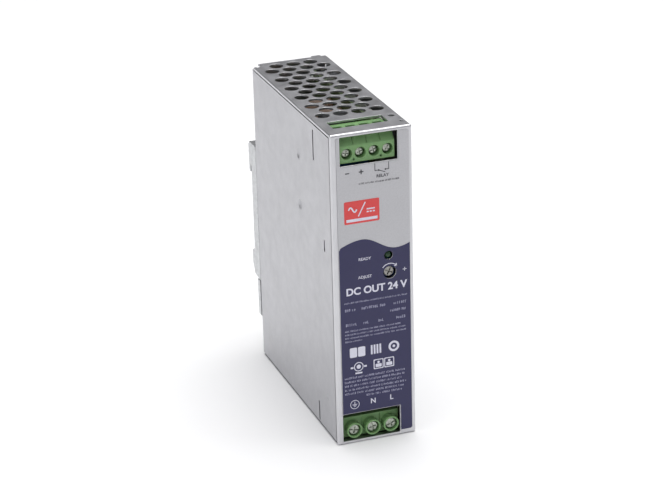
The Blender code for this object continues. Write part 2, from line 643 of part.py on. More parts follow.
# ---- main board, indicator and trimmer ----------------------------------------------------
def make_main_board():
    """Upright board with a tongue that reaches forward to the indicator and the trimmer."""
    front, tongue = BOARD_FRONT_Y / MM, -90.0
    rear, top = BOARD_REAR_Y / MM, BOARD_HALF_Z / MM
    points = [(front, -top), (rear, -top), (rear, top), (front, top), (front, 18.5),
              (tongue, 18.5), (tongue, 0.5), (front, 0.5)]
    part = outline("main_board", points, *BOARD_X, ACROSS_X, FIBREGLASS)
    cut(part, "board_holes", (),
        [("X", spot, PILLAR_BORE, BOARD_X[0] - MM, BOARD_X[1] + MM, 12) for spot in PILLARS])
    for number, (y, z) in enumerate(PILLARS, 1):
        name = f"board_screw_{number}"
        profile = [(0.0, 1.7), (2.0, 1.7), (2.7, 1.0), (2.7, 0.0), (1.5, 0.0), (1.5, -5.2),
                   (0.0, -5.2)]
        turned(name, profile, (SOLDER_X, y, z), TOWARDS_LEFT, STEEL, 12)


def make_indicator():
    """Light-emitting diode with a domed end behind the front's small hole."""
    radius = LED_RADIUS / MM
    dome = [(radius * math.sin(math.radians(a)), 4.2 + radius * math.cos(math.radians(a)))
            for a in (0, 30, 60, 90)]
    profile = [(0.0, dome[0][1])] + dome[1:] + [(radius, 1.0), (1.7, 1.0), (1.7, 0.0), (0.0, 0.0)]
    turned("status_led", profile, (LED_X, -93.2 * MM, LED_Z), TOWARDS_FRONT, GREEN_LENS, 12)


def make_trimmer():
    """Trimmer body in front of the board's tongue, and its slotted rotor."""
    body_y = (-95.4 * MM, -90.4 * MM)
    part = bevelled_box("trimmer_body", span(TRIM_X, 3.2 * MM), body_y, span(TRIM_Z, 3.2 * MM),
                        0.3 * MM, BLUE)
    cut(part, "trimmer_seat", (), [("Y", (TRIM_X, TRIM_Z), TRIM_RADIUS + GAP,
                                    body_y[0] - MM, body_y[0] + 1.5 * MM, 16)])
    radius = TRIM_RADIUS / MM
    bottom = body_y[0] + 1.5 * MM - GAP
    top = (bottom - (FRONT_Y + 1.2 * MM)) / MM
    profile = [(0.0, top), (radius - 0.2, top), (radius, top - 0.2), (radius, 0.0), (0.0, 0.0)]
    rotor = turned("trimmer_rotor", profile, (TRIM_X, bottom, TRIM_Z), TOWARDS_FRONT,
                   GREY_PLASTIC, 16)
    deep = (FRONT_Y, FRONT_Y + 2.0 * MM)
    slot = box("trimmer_slot", span(TRIM_X, 1.5 * MM), deep, span(TRIM_Z, 0.3 * MM), None)
    cross = box("trimmer_cross", span(TRIM_X, 0.3 * MM), deep, span(TRIM_Z, 1.5 * MM), None)
    boolean(rotor, slot, "DIFFERENCE")
    boolean(rotor, cross, "DIFFERENCE")


# ---- electronics --------------------------------------------------------------------------
def mm_span(low, high):
    return (low * MM, high * MM)


def make_transformer():
    """Ferrite core with two windows, bobbin round its middle leg, and the taped winding."""
    middle_y, half_leg = -64.0, 3.5
    core = box("transformer_core", mm_span(-8, 2), mm_span(-77.5, -50.5), mm_span(-16, 10), FERRITE)
    window_z = mm_span(-11.5, 5.5)
    windows = [(mm_span(-9, 3), mm_span(middle_y - 9.5, middle_y - half_leg), window_z),
               (mm_span(-9, 3), mm_span(middle_y + half_leg, middle_y + 9.5), window_z)]
    cut(core, "core_windows", windows)
    flange = mm_span(middle_y - 9.2, middle_y + 9.2)
    bobbin = box("transformer_bobbin", mm_span(-13.3, 7.0), flange, mm_span(-11.2, 5.2),
                 BLACK_RESIN)
    tube_x, tube_y = mm_span(-9.1, 3.1), mm_span(middle_y - 4.6, middle_y + 4.6)
    waist = mm_span(-10.2, 4.2)
    around = box("bobbin_waist", mm_span(-15, 9), mm_span(middle_y - 12, middle_y + 12), waist, None)
    cut(around, "bobbin_tube", [(tube_x, tube_y, mm_span(-12, 7))])
    boolean(bobbin, around, "DIFFERENCE")
    cut(bobbin, "bobbin_bore", [(mm_span(-8.3, 2.3), mm_span(middle_y - 3.8, middle_y + 3.8),
                                 mm_span(-13, 7))])
    winding = bevelled_box("transformer_winding", mm_span(-13.0, 6.7),
                           mm_span(middle_y - 9.0, middle_y + 9.0), mm_span(-9.9, 3.9), 1.2 * MM,
                           TAPE)
    cut(winding, "winding_bore", [(mm_span(-9.4, 3.4), mm_span(middle_y - 4.9, middle_y + 4.9),
                                   mm_span(-12, 7))])


def can(name, radius, length, centre, axis, paint):
    """Electrolytic can with the rolled groove near its rubber end."""
    profile = [(0.0, length), (radius - 0.6, length), (radius, length - 0.6), (radius, 3.0),
               (radius - 0.6, 2.4), (radius, 1.8), (radius, 0.5), (radius - 0.5, 0.0), (0.0, 0.0)]
    turned(name, profile, [value * MM for value in centre], axis, paint, 16)


def make_line_choke():
    """Common-mode choke: a closed ferrite frame with one coil on each upright leg."""
    core = box("line_choke_core", mm_span(-4, 4), mm_span(-36, -14), mm_span(-57.5, -36), FERRITE)
    cut(core, "choke_window", [(mm_span(-5, 5), mm_span(-31, -19), mm_span(-52.5, -41))])
    for number, leg in enumerate((-33.5, -16.5), 1):
        name = f"line_choke_coil_{number}"
        coil = bevelled_box(name, mm_span(-7.3, 7.2), mm_span(leg - 5.6, leg + 5.6),
                            mm_span(-52.0, -41.5), 1.0 * MM, COPPER)
        cut(coil, name + "_bore", [(mm_span(-4.4, 4.4), mm_span(leg - 2.9, leg + 2.9),
                                    mm_span(-60, -30))])


def make_electronics():
    make_transformer()
    for number, y in enumerate((-39.3, -20.2), 1):
        can(f"bulk_capacitor_{number}", 9.0, 32.0, (-2.3, y, -30.0), UPWARDS, SLEEVE)
    for number, y in enumerate((-46.0, -34.0), 1):
        can(f"output_capacitor_{number}", 5.0, 20.0, (7.3, y, 49.5), TOWARDS_LEFT, SLEEVE)
    make_line_choke()
    bevelled_box("output_inductor", mm_span(-5.0, 7.2), mm_span(-65.0, -53.0), mm_span(42.5, 55.5),
                 1.0 * MM, BLACK_RESIN)
    bevelled_box("line_capacitor", mm_span(-7.5, 7.2), mm_span(-60.0, -41.5), mm_span(-57.5, -48.0),
                 0.6 * MM, TAPE)
    turned("fuse", [(0.0, 20.0), (2.6, 20.0), (2.6, 15.5), (2.4, 15.2), (2.4, 4.8), (2.6, 4.5),
                    (2.6, 0.0), (0.0, 0.0)], (4.2 * MM, -74.0 * MM, -52.0 * MM), UPWARDS, CERAMIC,
           12)
    bevelled_box("bridge_rectifier", mm_span(-8.0, 7.2), mm_span(-62.0, -46.0),
                 mm_span(-34.5, -31.0), 0.4 * MM, BLACK_RESIN)
    box("primary_heatsink", mm_span(-12.8, 7.2), mm_span(-48.0, -12.0), mm_span(12.0, 14.0),
        ALUMINIUM)
    bevelled_box("switching_transistor", mm_span(-6.0, 4.0), mm_span(-36.0, -26.0),
                 mm_span(7.2, 11.7), 0.4 * MM, BLACK_RESIN)
    box("secondary_heatsink", mm_span(-12.8, 7.2), mm_span(-62.0, -12.0), mm_span(38.0, 40.0),
        ALUMINIUM)
    bevelled_box("output_rectifier", mm_span(-6.0, 4.0), mm_span(-45.0, -35.0),
                 mm_span(33.2, 37.7), 0.4 * MM, BLACK_RESIN)
    bevelled_box("alarm_relay", mm_span(-8.5, 7.2), mm_span(-77.0, -67.0), mm_span(24.0, 44.0),
                 0.5 * MM, BLUE)


# ---- assembly -----------------------------------------------------------------------------
def main():
    make_chassis()
    make_side_cover()
    make_front_label()
    make_insulation()
    make_rail_bracket()
    make_latch()
    make_latch_spring()
    make_output_housing()
    make_input_housing()
    make_pole_parts("output", OUTPUT)
    make_pole_parts("input", INPUT)
    make_terminal_board("output_terminal_board", OUTPUT, mm_span(-12.5, 7.3), mm_span(46.0, 59.5))
    make_terminal_board("input_terminal_board", INPUT, mm_span(-12.5, 10.5), mm_span(-60.0, -46.0))
    make_main_board()
    make_indicator()
    make_trimmer()
    make_electronics()


main()
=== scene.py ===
"""Looks of the slim rail power supply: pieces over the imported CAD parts, finishes, light, camera.

Row frame: metres, +X to the right seen from the front, +Y towards the rail, +Z up, and the origin
at the centre of the rail seat. Lengths below are written in millimetres, times MM.
"""
import json
import math
import random

import bmesh
import bpy
from mathutils import Matrix, Vector

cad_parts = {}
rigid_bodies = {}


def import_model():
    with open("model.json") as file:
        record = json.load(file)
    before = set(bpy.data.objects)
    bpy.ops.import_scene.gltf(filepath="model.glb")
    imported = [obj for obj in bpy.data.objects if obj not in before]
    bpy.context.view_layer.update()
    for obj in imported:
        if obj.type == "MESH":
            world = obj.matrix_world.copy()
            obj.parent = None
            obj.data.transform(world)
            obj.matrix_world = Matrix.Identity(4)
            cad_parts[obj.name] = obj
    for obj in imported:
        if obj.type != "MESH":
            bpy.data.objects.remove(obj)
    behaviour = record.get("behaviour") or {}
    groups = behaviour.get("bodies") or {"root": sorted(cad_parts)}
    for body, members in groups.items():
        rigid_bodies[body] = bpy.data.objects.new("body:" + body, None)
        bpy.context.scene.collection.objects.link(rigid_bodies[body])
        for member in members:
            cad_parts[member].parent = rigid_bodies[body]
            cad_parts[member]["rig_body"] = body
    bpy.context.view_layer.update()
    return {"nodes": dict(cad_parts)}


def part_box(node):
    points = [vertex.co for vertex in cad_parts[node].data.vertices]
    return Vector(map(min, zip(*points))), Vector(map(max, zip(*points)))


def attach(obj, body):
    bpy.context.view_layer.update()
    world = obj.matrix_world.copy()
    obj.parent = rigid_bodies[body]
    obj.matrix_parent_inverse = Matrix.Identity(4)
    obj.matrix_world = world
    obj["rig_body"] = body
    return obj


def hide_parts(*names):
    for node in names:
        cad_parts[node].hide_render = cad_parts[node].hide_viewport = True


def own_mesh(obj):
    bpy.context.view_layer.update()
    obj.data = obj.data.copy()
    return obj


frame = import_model()

MM = 0.001
SHEET = 0.8 * MM             # sheet metal of the case
BEND = 0.9 * MM              # outer radius of the chassis folds
COVER_BEND = 2.5 * MM        # outer radius of the cover's fold
CORNER_CUT = 3.0 * MM        # along each wall, at the open rear corner of the chassis
GAP = 0.3 * MM               # between pieces that touch
FLARE = 0.07 * MM            # eased edge of punched holes
SEAM = 0.2 * MM              # how far the cover's edges stand back
PAST = 0.6 * MM              # how far a cutter runs past what it cuts
CLEAR = 0.03 * MM            # keeps a cutter's corners off the surface that it cuts
SMOOTH = math.radians(32.0)


# ---- where the CAD parts are --------------------------------------------------------------
class Box:
    """A CAD node's box at rest, as (low, high) pairs."""

    def __init__(self, node):
        low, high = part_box(node)
        self.x, self.y, self.z = ((low[axis], high[axis]) for axis in range(3))
        self.centre = (low + high) / 2


CASE = Box("chassis")
COVER = Box("side_cover")
LABEL = Box("front_label")
UPPER = Box("output_terminal_housing")
LOWER = Box("input_terminal_housing")
LED = Box("status_led")
ROTOR = Box("trimmer_rotor")
FRONT = CASE.y[0]
REAR = COVER.y[1]
TOP = CASE.z[1]
LEFT, RIGHT = CASE.x

# windows of the front round the two terminal blocks, and of the top and bottom above the wires
UPPER_WINDOW = ((UPPER.x[0] - 0.4 * MM, UPPER.x[1] + 0.7 * MM), (UPPER.z[0] - 0.6 * MM, UPPER.z[1]))
LOWER_WINDOW = ((LOWER.x[0] - 0.6 * MM, LOWER.x[1] - 0.5 * MM),
                (-UPPER.z[1], LOWER.z[1] + 3.0 * MM))
WIRE_WINDOW = ((UPPER.x[0] - 0.1 * MM, UPPER.x[1]), (FRONT + 7.0 * MM, UPPER.y[1] - 0.2 * MM))
LED_HOLE = 1.75 * MM
TRIMMER_HOLE = 2.6 * MM

VENT_RADIUS = 2.75 * MM
VENT_PITCH = (7.13 * MM, 5.85 * MM)
VENT_FIRST_Y = FRONT + 22.5 * MM
VENT_ROWS = 12


# ---- finishes -----------------------------------------------------------------------------
class Paint:
    """A Principled material, built up from procedural textures in the object's own millimetres."""

    def __init__(self, name, colour, roughness, metallic=0.0, **sockets):
        self.material = bpy.data.materials.new(name)
        self.material.use_nodes = True
        self.tree = self.material.node_tree
        self.shader = self.tree.nodes["Principled BSDF"]
        self.colour = (*colour, 1.0)
        self.shader.inputs["Base Color"].default_value = self.colour
        self.shader.inputs["Roughness"].default_value = roughness
        self.shader.inputs["Metallic"].default_value = metallic
        for socket, value in sockets.items():
            self.shader.inputs[socket.replace("_", " ")].default_value = value
        self.material.diffuse_color = self.colour
        self.coordinates = self.add("ShaderNodeTexCoord").outputs["Object"]

    def add(self, kind, **values):
        node = self.tree.nodes.new(kind)
        for name, value in values.items():
            setattr(node, name, value)
        return node

    def link(self, output, target):
        self.tree.links.new(output, target)

    def scaled(self, stretch):
        """Object coordinates in millimetres, divided by the size of a feature along each axis."""
        mapping = self.add("ShaderNodeMapping")
        mapping.inputs["Scale"].default_value = [1.0 / (MM * size) for size in stretch]
        self.link(self.coordinates, mapping.inputs["Vector"])
        return mapping.outputs["Vector"]

    def noise(self, size, detail=3.0, roughness=0.55):
        """Noise with features of about the given size in mm, along each axis."""
        stretch = size if isinstance(size, tuple) else (size, size, size)
        node = self.add("ShaderNodeTexNoise")
        node.inputs["Scale"].default_value = 1.0
        node.inputs["Detail"].default_value = detail
        node.inputs["Roughness"].default_value = roughness
        self.link(self.scaled(stretch), node.inputs["Vector"])
        return node.outputs["Fac"]

    def cells(self, size):
        """Random grey of cells of the given size in mm, as in zinc spangle."""
        node = self.add("ShaderNodeTexVoronoi")
        node.inputs["Scale"].default_value = 1.0
        self.link(self.scaled((size, size, size)), node.inputs["Vector"])
        split = self.add("ShaderNodeSeparateColor")
        self.link(node.outputs["Color"], split.inputs["Color"])
        return split.outputs["Red"]

    def stripes(self, axis, pitch, distortion):
        """Waves across an axis with the given pitch in mm, such as turns of wire."""
        node = self.add("ShaderNodeTexWave", bands_direction=axis)
        node.inputs["Scale"].default_value = math.tau / (20.0 * MM * pitch)
        node.inputs["Distortion"].default_value = distortion
        self.link(self.coordinates, node.inputs["Vector"])
        return node.outputs["Fac"]

    def spread(self, value, low, high, start=0.3, end=0.7):
        """The value's middle range, stretched from low to high."""
        node = self.add("ShaderNodeMapRange")
        ends = {"From Min": start, "From Max": end, "To Min": low, "To Max": high}
        for socket, number in ends.items():
            node.inputs[socket].default_value = number
        self.link(value, node.inputs["Value"])
        return node.outputs["Result"]

    def blend(self, factor, first, second):
        """A colour between two; the factor is a socket or a number, the ends sockets or colours."""
        node = self.add("ShaderNodeMix", data_type="RGBA")
        if hasattr(factor, "links"):
            self.link(factor, node.inputs[0])
        else:
            node.inputs[0].default_value = factor
        for target, colour in ((node.inputs[6], first), (node.inputs[7], second)):
            if hasattr(colour, "links"):
                self.link(colour, target)
            else:
                target.default_value = (*colour[:3], 1.0)
        return node.outputs[2]

    def shade(self, factor, dark, light=1.0):
        """The base colour, times dark to light as the factor goes from 0 to 1."""
        return self.blend(factor, [c * dark for c in self.colour[:3]],
                          [min(1.0, c * light) for c in self.colour[:3]])

    def colours(self, socket):
        self.link(socket, self.shader.inputs["Base Color"])
        return self

    def rough(self, socket):
        self.link(socket, self.shader.inputs["Roughness"])
        return self

    def relief(self, *layers):
        """Bumps, each given as (height socket, depth in mm)."""
        normal = None
        for height, depth in layers:
            node = self.add("ShaderNodeBump")
            node.inputs["Strength"].default_value = 1.0
            node.inputs["Distance"].default_value = depth * MM
            self.link(height, node.inputs["Height"])
            if normal is not None:
                self.link(normal, node.inputs["Normal"])
            normal = node.outputs["Normal"]
        self.link(normal, self.shader.inputs["Normal"])
        return self


def brushed_metal(name, colour, roughness, grain, cloud=14.0, depth=0.004):
    """Satin sheet: fine brushing along one axis, soft clouds, faint scratches, handling marks."""
    paint = Paint(name, colour, roughness, 1.0)
    fine = paint.noise(grain, 4.0, 0.6)
    soft = paint.noise(cloud, 2.0)
    tone = paint.shade(paint.spread(soft, 0.0, 1.0), 0.93, 1.05)
    streaks = paint.shade(paint.spread(fine, 0.0, 1.0), 0.90, 1.06)
    paint.colours(paint.blend(0.45, tone, streaks))
    marks = paint.noise(5.0, 5.0, 0.7)
    paint.rough(paint.spread(marks, roughness - 0.05, roughness + 0.09))
    return paint.relief((fine, depth), (soft, depth * 6))


def spangled_metal(name, colour, roughness, size):
    """Hot-dip zinc: faint crystals with their own tone and gloss."""
    paint = Paint(name, colour, roughness, 1.0)
    cells = paint.cells(size)
    paint.colours(paint.shade(cells, 0.90, 1.05))
    paint.rough(paint.spread(paint.noise(size * 0.7, 4.0), roughness - 0.07, roughness + 0.12))
    return paint.relief((paint.noise(0.5, 3.0), 0.006), (cells, 0.004))


def moulded(name, colour, roughness, grain=0.25, depth=0.006, **sockets):
    """Moulded plastic: fine spark-eroded grain, slight flow tone and rubbed spots."""
    paint = Paint(name, colour, roughness, **sockets)
    flow = paint.noise((6.0, 6.0, 3.0), 2.0)
    paint.colours(paint.shade(paint.spread(flow, 0.0, 1.0), 0.90, 1.08))
    paint.rough(paint.spread(paint.noise(2.0, 4.0), roughness - 0.06, roughness + 0.08))
    return paint.relief((paint.noise(grain, 2.0), depth))


def film(name, colour, roughness, metallic=0.0, depth=0.004):
    """Printed polyester film: faint orange peel and ink mottling."""
    paint = Paint(name, colour, roughness, metallic, Coat_Weight=0.15, Coat_Roughness=0.3)
    mottle = paint.noise(0.6, 3.0)
    paint.colours(paint.shade(paint.spread(mottle, 0.0, 1.0), 0.95, 1.04))
    paint.rough(paint.spread(paint.noise(9.0, 3.0), roughness - 0.04, roughness + 0.06))
    return paint.relief((paint.noise(1.6, 2.0), depth))


def turned_metal(name, colour, roughness, metallic=1.0, depth=0.008):
    """Plated or drawn metal with fine marks."""
    paint = Paint(name, colour, roughness, metallic)
    marks = paint.noise((0.5, 0.5, 0.08), 4.0, 0.7)
    paint.colours(paint.shade(paint.spread(paint.noise(0.9, 3.0), 0.0, 1.0), 0.80, 1.08))
    paint.rough(paint.spread(marks, roughness - 0.06, roughness + 0.12))
    return paint.relief((marks, depth))


def wound_wire(name, colour, roughness, axis, pitch):
    """Enamelled wire laid side by side, its colour darker in the grooves between turns and lighter
    on their crowns: painted shade and painted highlight.
    """
    paint = Paint(name, colour, roughness, 0.6, Coat_Weight=0.5, Coat_Roughness=0.2)
    turns = paint.stripes(axis, pitch, 0.4)
    # the turn waves colour each turn: painted shade between turns, painted highlight on the crowns
    paint.colours(paint.shade(turns, 0.45, 1.15))
    return paint.relief((turns, pitch * 0.35))


def taped(name, colour, roughness):
    """Polyester tape over a winding: overlapping edges and small folds."""
    paint = Paint(name, colour, roughness, Coat_Weight=0.3, Coat_Roughness=0.25)
    laps = paint.stripes("Z", 3.2, 0.3)
    folds = paint.noise((4.0, 4.0, 1.2), 4.0)
    paint.colours(paint.shade(paint.spread(folds, 0.0, 1.0), 0.78, 1.10))
    paint.rough(paint.spread(folds, roughness - 0.08, roughness + 0.12))
    return paint.relief((laps, 0.05), (folds, 0.10))


def circuit_board(name, mask, copper):
    """Solder mask over traces, with the glass weave just showing."""
    paint = Paint(name, mask, 0.38, Coat_Weight=0.25, Coat_Roughness=0.25)
    lanes = paint.add("ShaderNodeTexBrick")
    lanes.inputs["Scale"].default_value = 1.0
    lanes.inputs["Mortar Size"].default_value = 0.12
    lanes.inputs["Brick Width"].default_value = 3.4
    lanes.inputs["Row Height"].default_value = 1.3
    swap = paint.add("ShaderNodeMapping")
    swap.inputs["Rotation"].default_value = (0.0, math.radians(90.0), 0.0)
    swap.inputs["Scale"].default_value = (1.0 / MM,) * 3
    paint.link(paint.coordinates, swap.inputs["Vector"])
    paint.link(swap.outputs["Vector"], lanes.inputs["Vector"])
    traces = paint.blend(lanes.outputs["Fac"], [c * 1.25 for c in mask], copper)
    weave = paint.noise(0.35, 2.0)
    paint.colours(paint.blend(paint.spread(paint.noise(7.0, 2.0), 0.0, 0.55), traces, mask))
    return paint.relief((lanes.outputs["Fac"], -0.02), (weave, 0.006))


PAINTS = {
    "sheet_metal": brushed_metal("sheet_metal", (0.60, 0.60, 0.62), 0.34, (0.10, 0.10, 5.0)),
    # the cover's metal is darker than the chassis sheet so that its walls render darker: painted
    # shade
    "shaded_cover_metal": brushed_metal("shaded_cover_metal", (0.45, 0.45, 0.47), 0.34, (0.10, 0.12, 6.0), 18.0),
    "bracket_metal": spangled_metal("bracket_metal", (0.54, 0.55, 0.56), 0.36, 1.9),
    "label_film": film("label_silver", (0.48, 0.48, 0.50), 0.42, 0.35),
    "navy_ink": film("label_navy", (0.010, 0.009, 0.066), 0.40),
    "white_ink": film("print_white", (0.66, 0.66, 0.76), 0.45, depth=0.001),
    "pale_ink": film("print_pale", (0.36, 0.36, 0.50), 0.45, depth=0.001),
    "dark_ink": film("print_dark", (0.055, 0.055, 0.065), 0.45, depth=0.001),
    "red_ink": film("print_red", (0.66, 0.050, 0.050), 0.42, depth=0.001),
    "green_plastic": moulded("green_polyamide", (0.155, 0.300, 0.115), 0.42,
                             Subsurface_Weight=0.04, Subsurface_Scale=0.0006),
    # nickel plate dimmed and tinted green: painted shade and a painted green reflection of the
    # terminal wells, on every screw and clamp that uses it
    "screw_steel": turned_metal("nickel_plate_shaded_green", (0.44, 0.47, 0.41), 0.28),
    "spring_steel": turned_metal("spring_steel", (0.50, 0.50, 0.52), 0.24),
    "contact_copper": turned_metal("tinned_copper", (0.74, 0.55, 0.42), 0.30),
    "circuit_board": circuit_board("circuit_board", (0.060, 0.095, 0.035), (0.22, 0.24, 0.09)),
    "ferrite": moulded("ferrite", (0.045, 0.045, 0.048), 0.55, 0.15, 0.02),
    "black_resin": moulded("black_resin", (0.022, 0.022, 0.024), 0.40, 0.2, 0.008),
    "yellow_tape": taped("yellow_tape", (0.72, 0.50, 0.07), 0.35),
    "winding_copper": wound_wire("winding_copper", (0.60, 0.27, 0.10), 0.30, "Z", 0.8),
    "capacitor_sleeve": moulded("capacitor_sleeve", (0.135, 0.075, 0.042), 0.32, 0.5, 0.01),
    "heatsink_aluminium": brushed_metal("heatsink_aluminium", (0.70, 0.70, 0.71), 0.36,
                                        (4.0, 0.12, 0.12)),
    "blue_plastic": moulded("blue_plastic", (0.035, 0.12, 0.40), 0.38),
    "ceramic": moulded("ceramic", (0.70, 0.68, 0.62), 0.45, 0.2, 0.004),
    "grey_plastic": turned_metal("rotor_alloy", (0.36, 0.35, 0.33), 0.38, 0.7),
    "green_lens": moulded("green_lens", (0.006, 0.035, 0.010), 0.14, 0.6, 0.001),
    "insulating_film": film("insulating_film", (0.66, 0.67, 0.62), 0.35),
}


# ---- mesh helpers -------------------------------------------------------------------------
def placed(name, data):
    """An object in the scene for a mesh, curve, lamp or camera."""
    made = bpy.data.objects.new(name, data)
    bpy.context.scene.collection.objects.link(made)
    return made


def made_from(bm, name, outward=True):
    """An object from a bmesh, with its faces turned outward unless they are right already."""
    if outward:
        bmesh.ops.recalc_face_normals(bm, faces=bm.faces)
    mesh = bpy.data.meshes.new(name)
    bm.to_mesh(mesh)
    bm.free()
    return placed(name, mesh)


def baked(piece):
    """A mesh of a piece with its modifiers applied, or of a curve or words."""
    bpy.context.view_layer.update()
    ready = piece.evaluated_get(bpy.context.evaluated_depsgraph_get())
    return bpy.data.meshes.new_from_object(ready)


def spot(axis, a, b, height):
    """A point from two coordinates across an axis, in X, Y, Z order, and one along it."""
    return {"X": (height, a, b), "Y": (a, height, b), "Z": (a, b, height)}[axis]


def circle(centre, radius, sides=32):
    """An outline that can grow: a round hole or pin."""
    def outline(grow):
        reach = radius + grow
        turns = [math.tau * k / sides for k in range(sides)]
        return [(centre[0] + reach * math.cos(t), centre[1] + reach * math.sin(t)) for t in turns]
    return outline


def rounded(a, b, radius, steps=5):
    """An outline that can grow: a rectangle between (low, high) pairs with round corners."""
    centre = ((a[0] + a[1]) / 2, (b[0] + b[1]) / 2)
    half = ((a[1] - a[0]) / 2, (b[1] - b[0]) / 2)

    def outline(grow):
        round_by = radius + max(grow, 0.0)
        points = []
        for quarter, (side_a, side_b) in enumerate(((1, 1), (-1, 1), (-1, -1), (1, -1))):
            middle_a = centre[0] + side_a * (half[0] + grow - round_by)
            middle_b = centre[1] + side_b * (half[1] + grow - round_by)
            for step in range(steps + 1):
                turn = math.radians(90.0 * (quarter + step / steps))
                points.append((middle_a + round_by * math.cos(turn),
                               middle_b + round_by * math.sin(turn)))
        return points
    return outline


def loft(bm, rings):
    """A closed solid through rings of the same number of points."""
    made = [[bm.verts.new(point) for point in ring] for ring in rings]
    for one, two in zip(made, made[1:]):
        for k in range(len(one)):
            following = (k + 1) % len(one)
            bm.faces.new((one[k], one[following], two[following], two[k]))
    bm.faces.new(list(reversed(made[0])))
    bm.faces.new(made[-1])


def rod(bm, axis, outline, levels):
    """A solid along an axis; levels holds (height, how much the outline grows there)."""
    loft(bm, [[spot(axis, a, b, height) for a, b in outline(grow)] for height, grow in levels])


def slab(bm, axis, outline, low, high):
    """A solid with an unchanging outline between two heights."""
    rod(bm, axis, outline, [(low, 0.0), (high, 0.0)])


def punch(bm, axis, outline, low, high, flare=FLARE):
    """A cutter through a sheet between low and high, which eases both edges of the hole."""
    wide = flare + CLEAR
    rod(bm, axis, outline, [(low - PAST, wide), (low - CLEAR, wide), (low + flare, 0.0),
                            (high - flare, 0.0), (high + CLEAR, wide), (high + PAST, wide)])


def sink(bm, axis, outline, mouth, bottom, flare=FLARE):
    """A cutter for a blind hole, from its mouth towards its bottom, with an eased mouth."""
    way = 1.0 if bottom > mouth else -1.0
    wide = flare + CLEAR
    rod(bm, axis, outline, [(mouth - way * PAST, wide), (mouth - way * CLEAR, wide),
                            (mouth + way * flare, 0.0), (bottom, 0.0)])


def block(bm, x, y, z):
    size = Matrix.Diagonal((x[1] - x[0], y[1] - y[0], z[1] - z[0], 1.0))
    middle = Vector((sum(x) / 2, sum(y) / 2, sum(z) / 2))
    bmesh.ops.create_cube(bm, size=1.0, matrix=Matrix.Translation(middle) @ size)


def prism(bm, axis, points, low, high):
    """An outline given in millimetres, made a solid between two heights."""
    scaled = [(a * MM, b * MM) for a, b in points]
    loft(bm, [[spot(axis, a, b, height) for a, b in scaled] for height in (low, high)])


def change(piece, kind, tool=None, **values):
    """Add a modifier; a Boolean's tool is built from a bmesh."""
    step = piece.modifiers.new(kind.lower(), kind)
    for name, value in values.items():
        setattr(step, name, value)
    if tool is not None:
        step.solver = "EXACT"
        step.object = made_from(tool, piece.name + "_tool")
    return piece


def cut(piece, tool):
    return change(piece, "BOOLEAN", tool, operation="DIFFERENCE")


def cut_block(piece, x, y, z):
    tool = bmesh.new()
    block(tool, x, y, z)
    return cut(piece, tool)


def join(piece, tool):
    return change(piece, "BOOLEAN", tool, operation="UNION")


def ease(piece, width, segments):
    return change(piece, "BEVEL", width=width, segments=segments, limit_method="ANGLE",
                  angle_limit=math.radians(30.0), use_clamp_overlap=True)


def settle(piece):
    """Apply the modifiers so far, and drop the tools they used."""
    tools = [step.object for step in piece.modifiers if step.type == "BOOLEAN"]
    mesh = baked(piece)
    piece.modifiers.clear()
    piece.data = mesh
    for tool in tools:
        bpy.data.objects.remove(tool, do_unlink=True)
    return piece


def show(piece, node, paint, body=None):
    """Give a piece its finish, and let it stand for a CAD node on that node's body."""
    settle(piece)
    piece.data.materials.clear()
    piece.data.materials.append(PAINTS[paint].material)
    piece.data.shade_smooth()
    piece.data.set_sharp_from_angle(angle=SMOOTH)
    change(piece, "WEIGHTED_NORMAL", keep_sharp=True)
    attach(piece, body or frame["nodes"][node]["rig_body"])
    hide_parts(node)


def refine(node, width, paint):
    """A CAD node's own shape, its flat faces made whole and its edges rounded by a width in mm."""
    bm = bmesh.new()
    bm.from_mesh(frame["nodes"][node].data)
    bmesh.ops.remove_doubles(bm, verts=bm.verts, dist=0.001 * MM)
    bmesh.ops.dissolve_limit(bm, angle_limit=math.radians(0.5), verts=bm.verts, edges=bm.edges)
    piece = ease(made_from(bm, node + "_body"), width * MM, 3 if width >= 0.25 else 2)
    show(piece, node, paint)


def lathe(bm, profile, centre, direction, steps):
    """A turned solid. The profile is (radius, height) in mm, from axis to axis, along direction."""
    turn = Vector((0.0, 0.0, 1.0)).rotation_difference(Vector(direction)).to_matrix().to_4x4()
    place = Matrix.Translation(centre) @ turn
    rings = []
    for radius, height in profile:
        if radius == 0.0:
            rings.append([bm.verts.new(place @ Vector((0.0, 0.0, height * MM)))])
            continue
        rings.append([bm.verts.new(place @ Vector((radius * MM * math.cos(math.tau * k / steps),
                                                   radius * MM * math.sin(math.tau * k / steps),
                                                   height * MM))) for k in range(steps)])
    for one, two in zip(rings, rings[1:]):
        for k in range(steps):
            following = (k + 1) % steps
            corners = []
            for ring in ((one, k), (one, following), (two, following), (two, k)):
                corner = ring[0][ring[1] % len(ring[0])]
                if corner not in corners:
                    corners.append(corner)
            bm.faces.new(corners)


def turned(name, profile, centre, direction, steps=40):
    bm = bmesh.new()
    lathe(bm, profile, centre, direction, steps)
    return made_from(bm, name)


def spin(piece, middle, angle):
    """Turn a piece's mesh about the Y axis through a point."""
    turn = Matrix.Translation(middle) @ Matrix.Rotation(angle, 4, "Y")
    settle(piece).data.transform(turn @ Matrix.Translation(-Vector(middle)))
    return piece


def arc(centre, radius, start, end, steps=4):
    """Points of an arc in a profile, in mm and degrees."""
    return [(centre[0] + radius * math.cos(math.radians(start + (end - start) * k / steps)),
             centre[1] + radius * math.sin(math.radians(start + (end - start) * k / steps)))
            for k in range(steps + 1)]


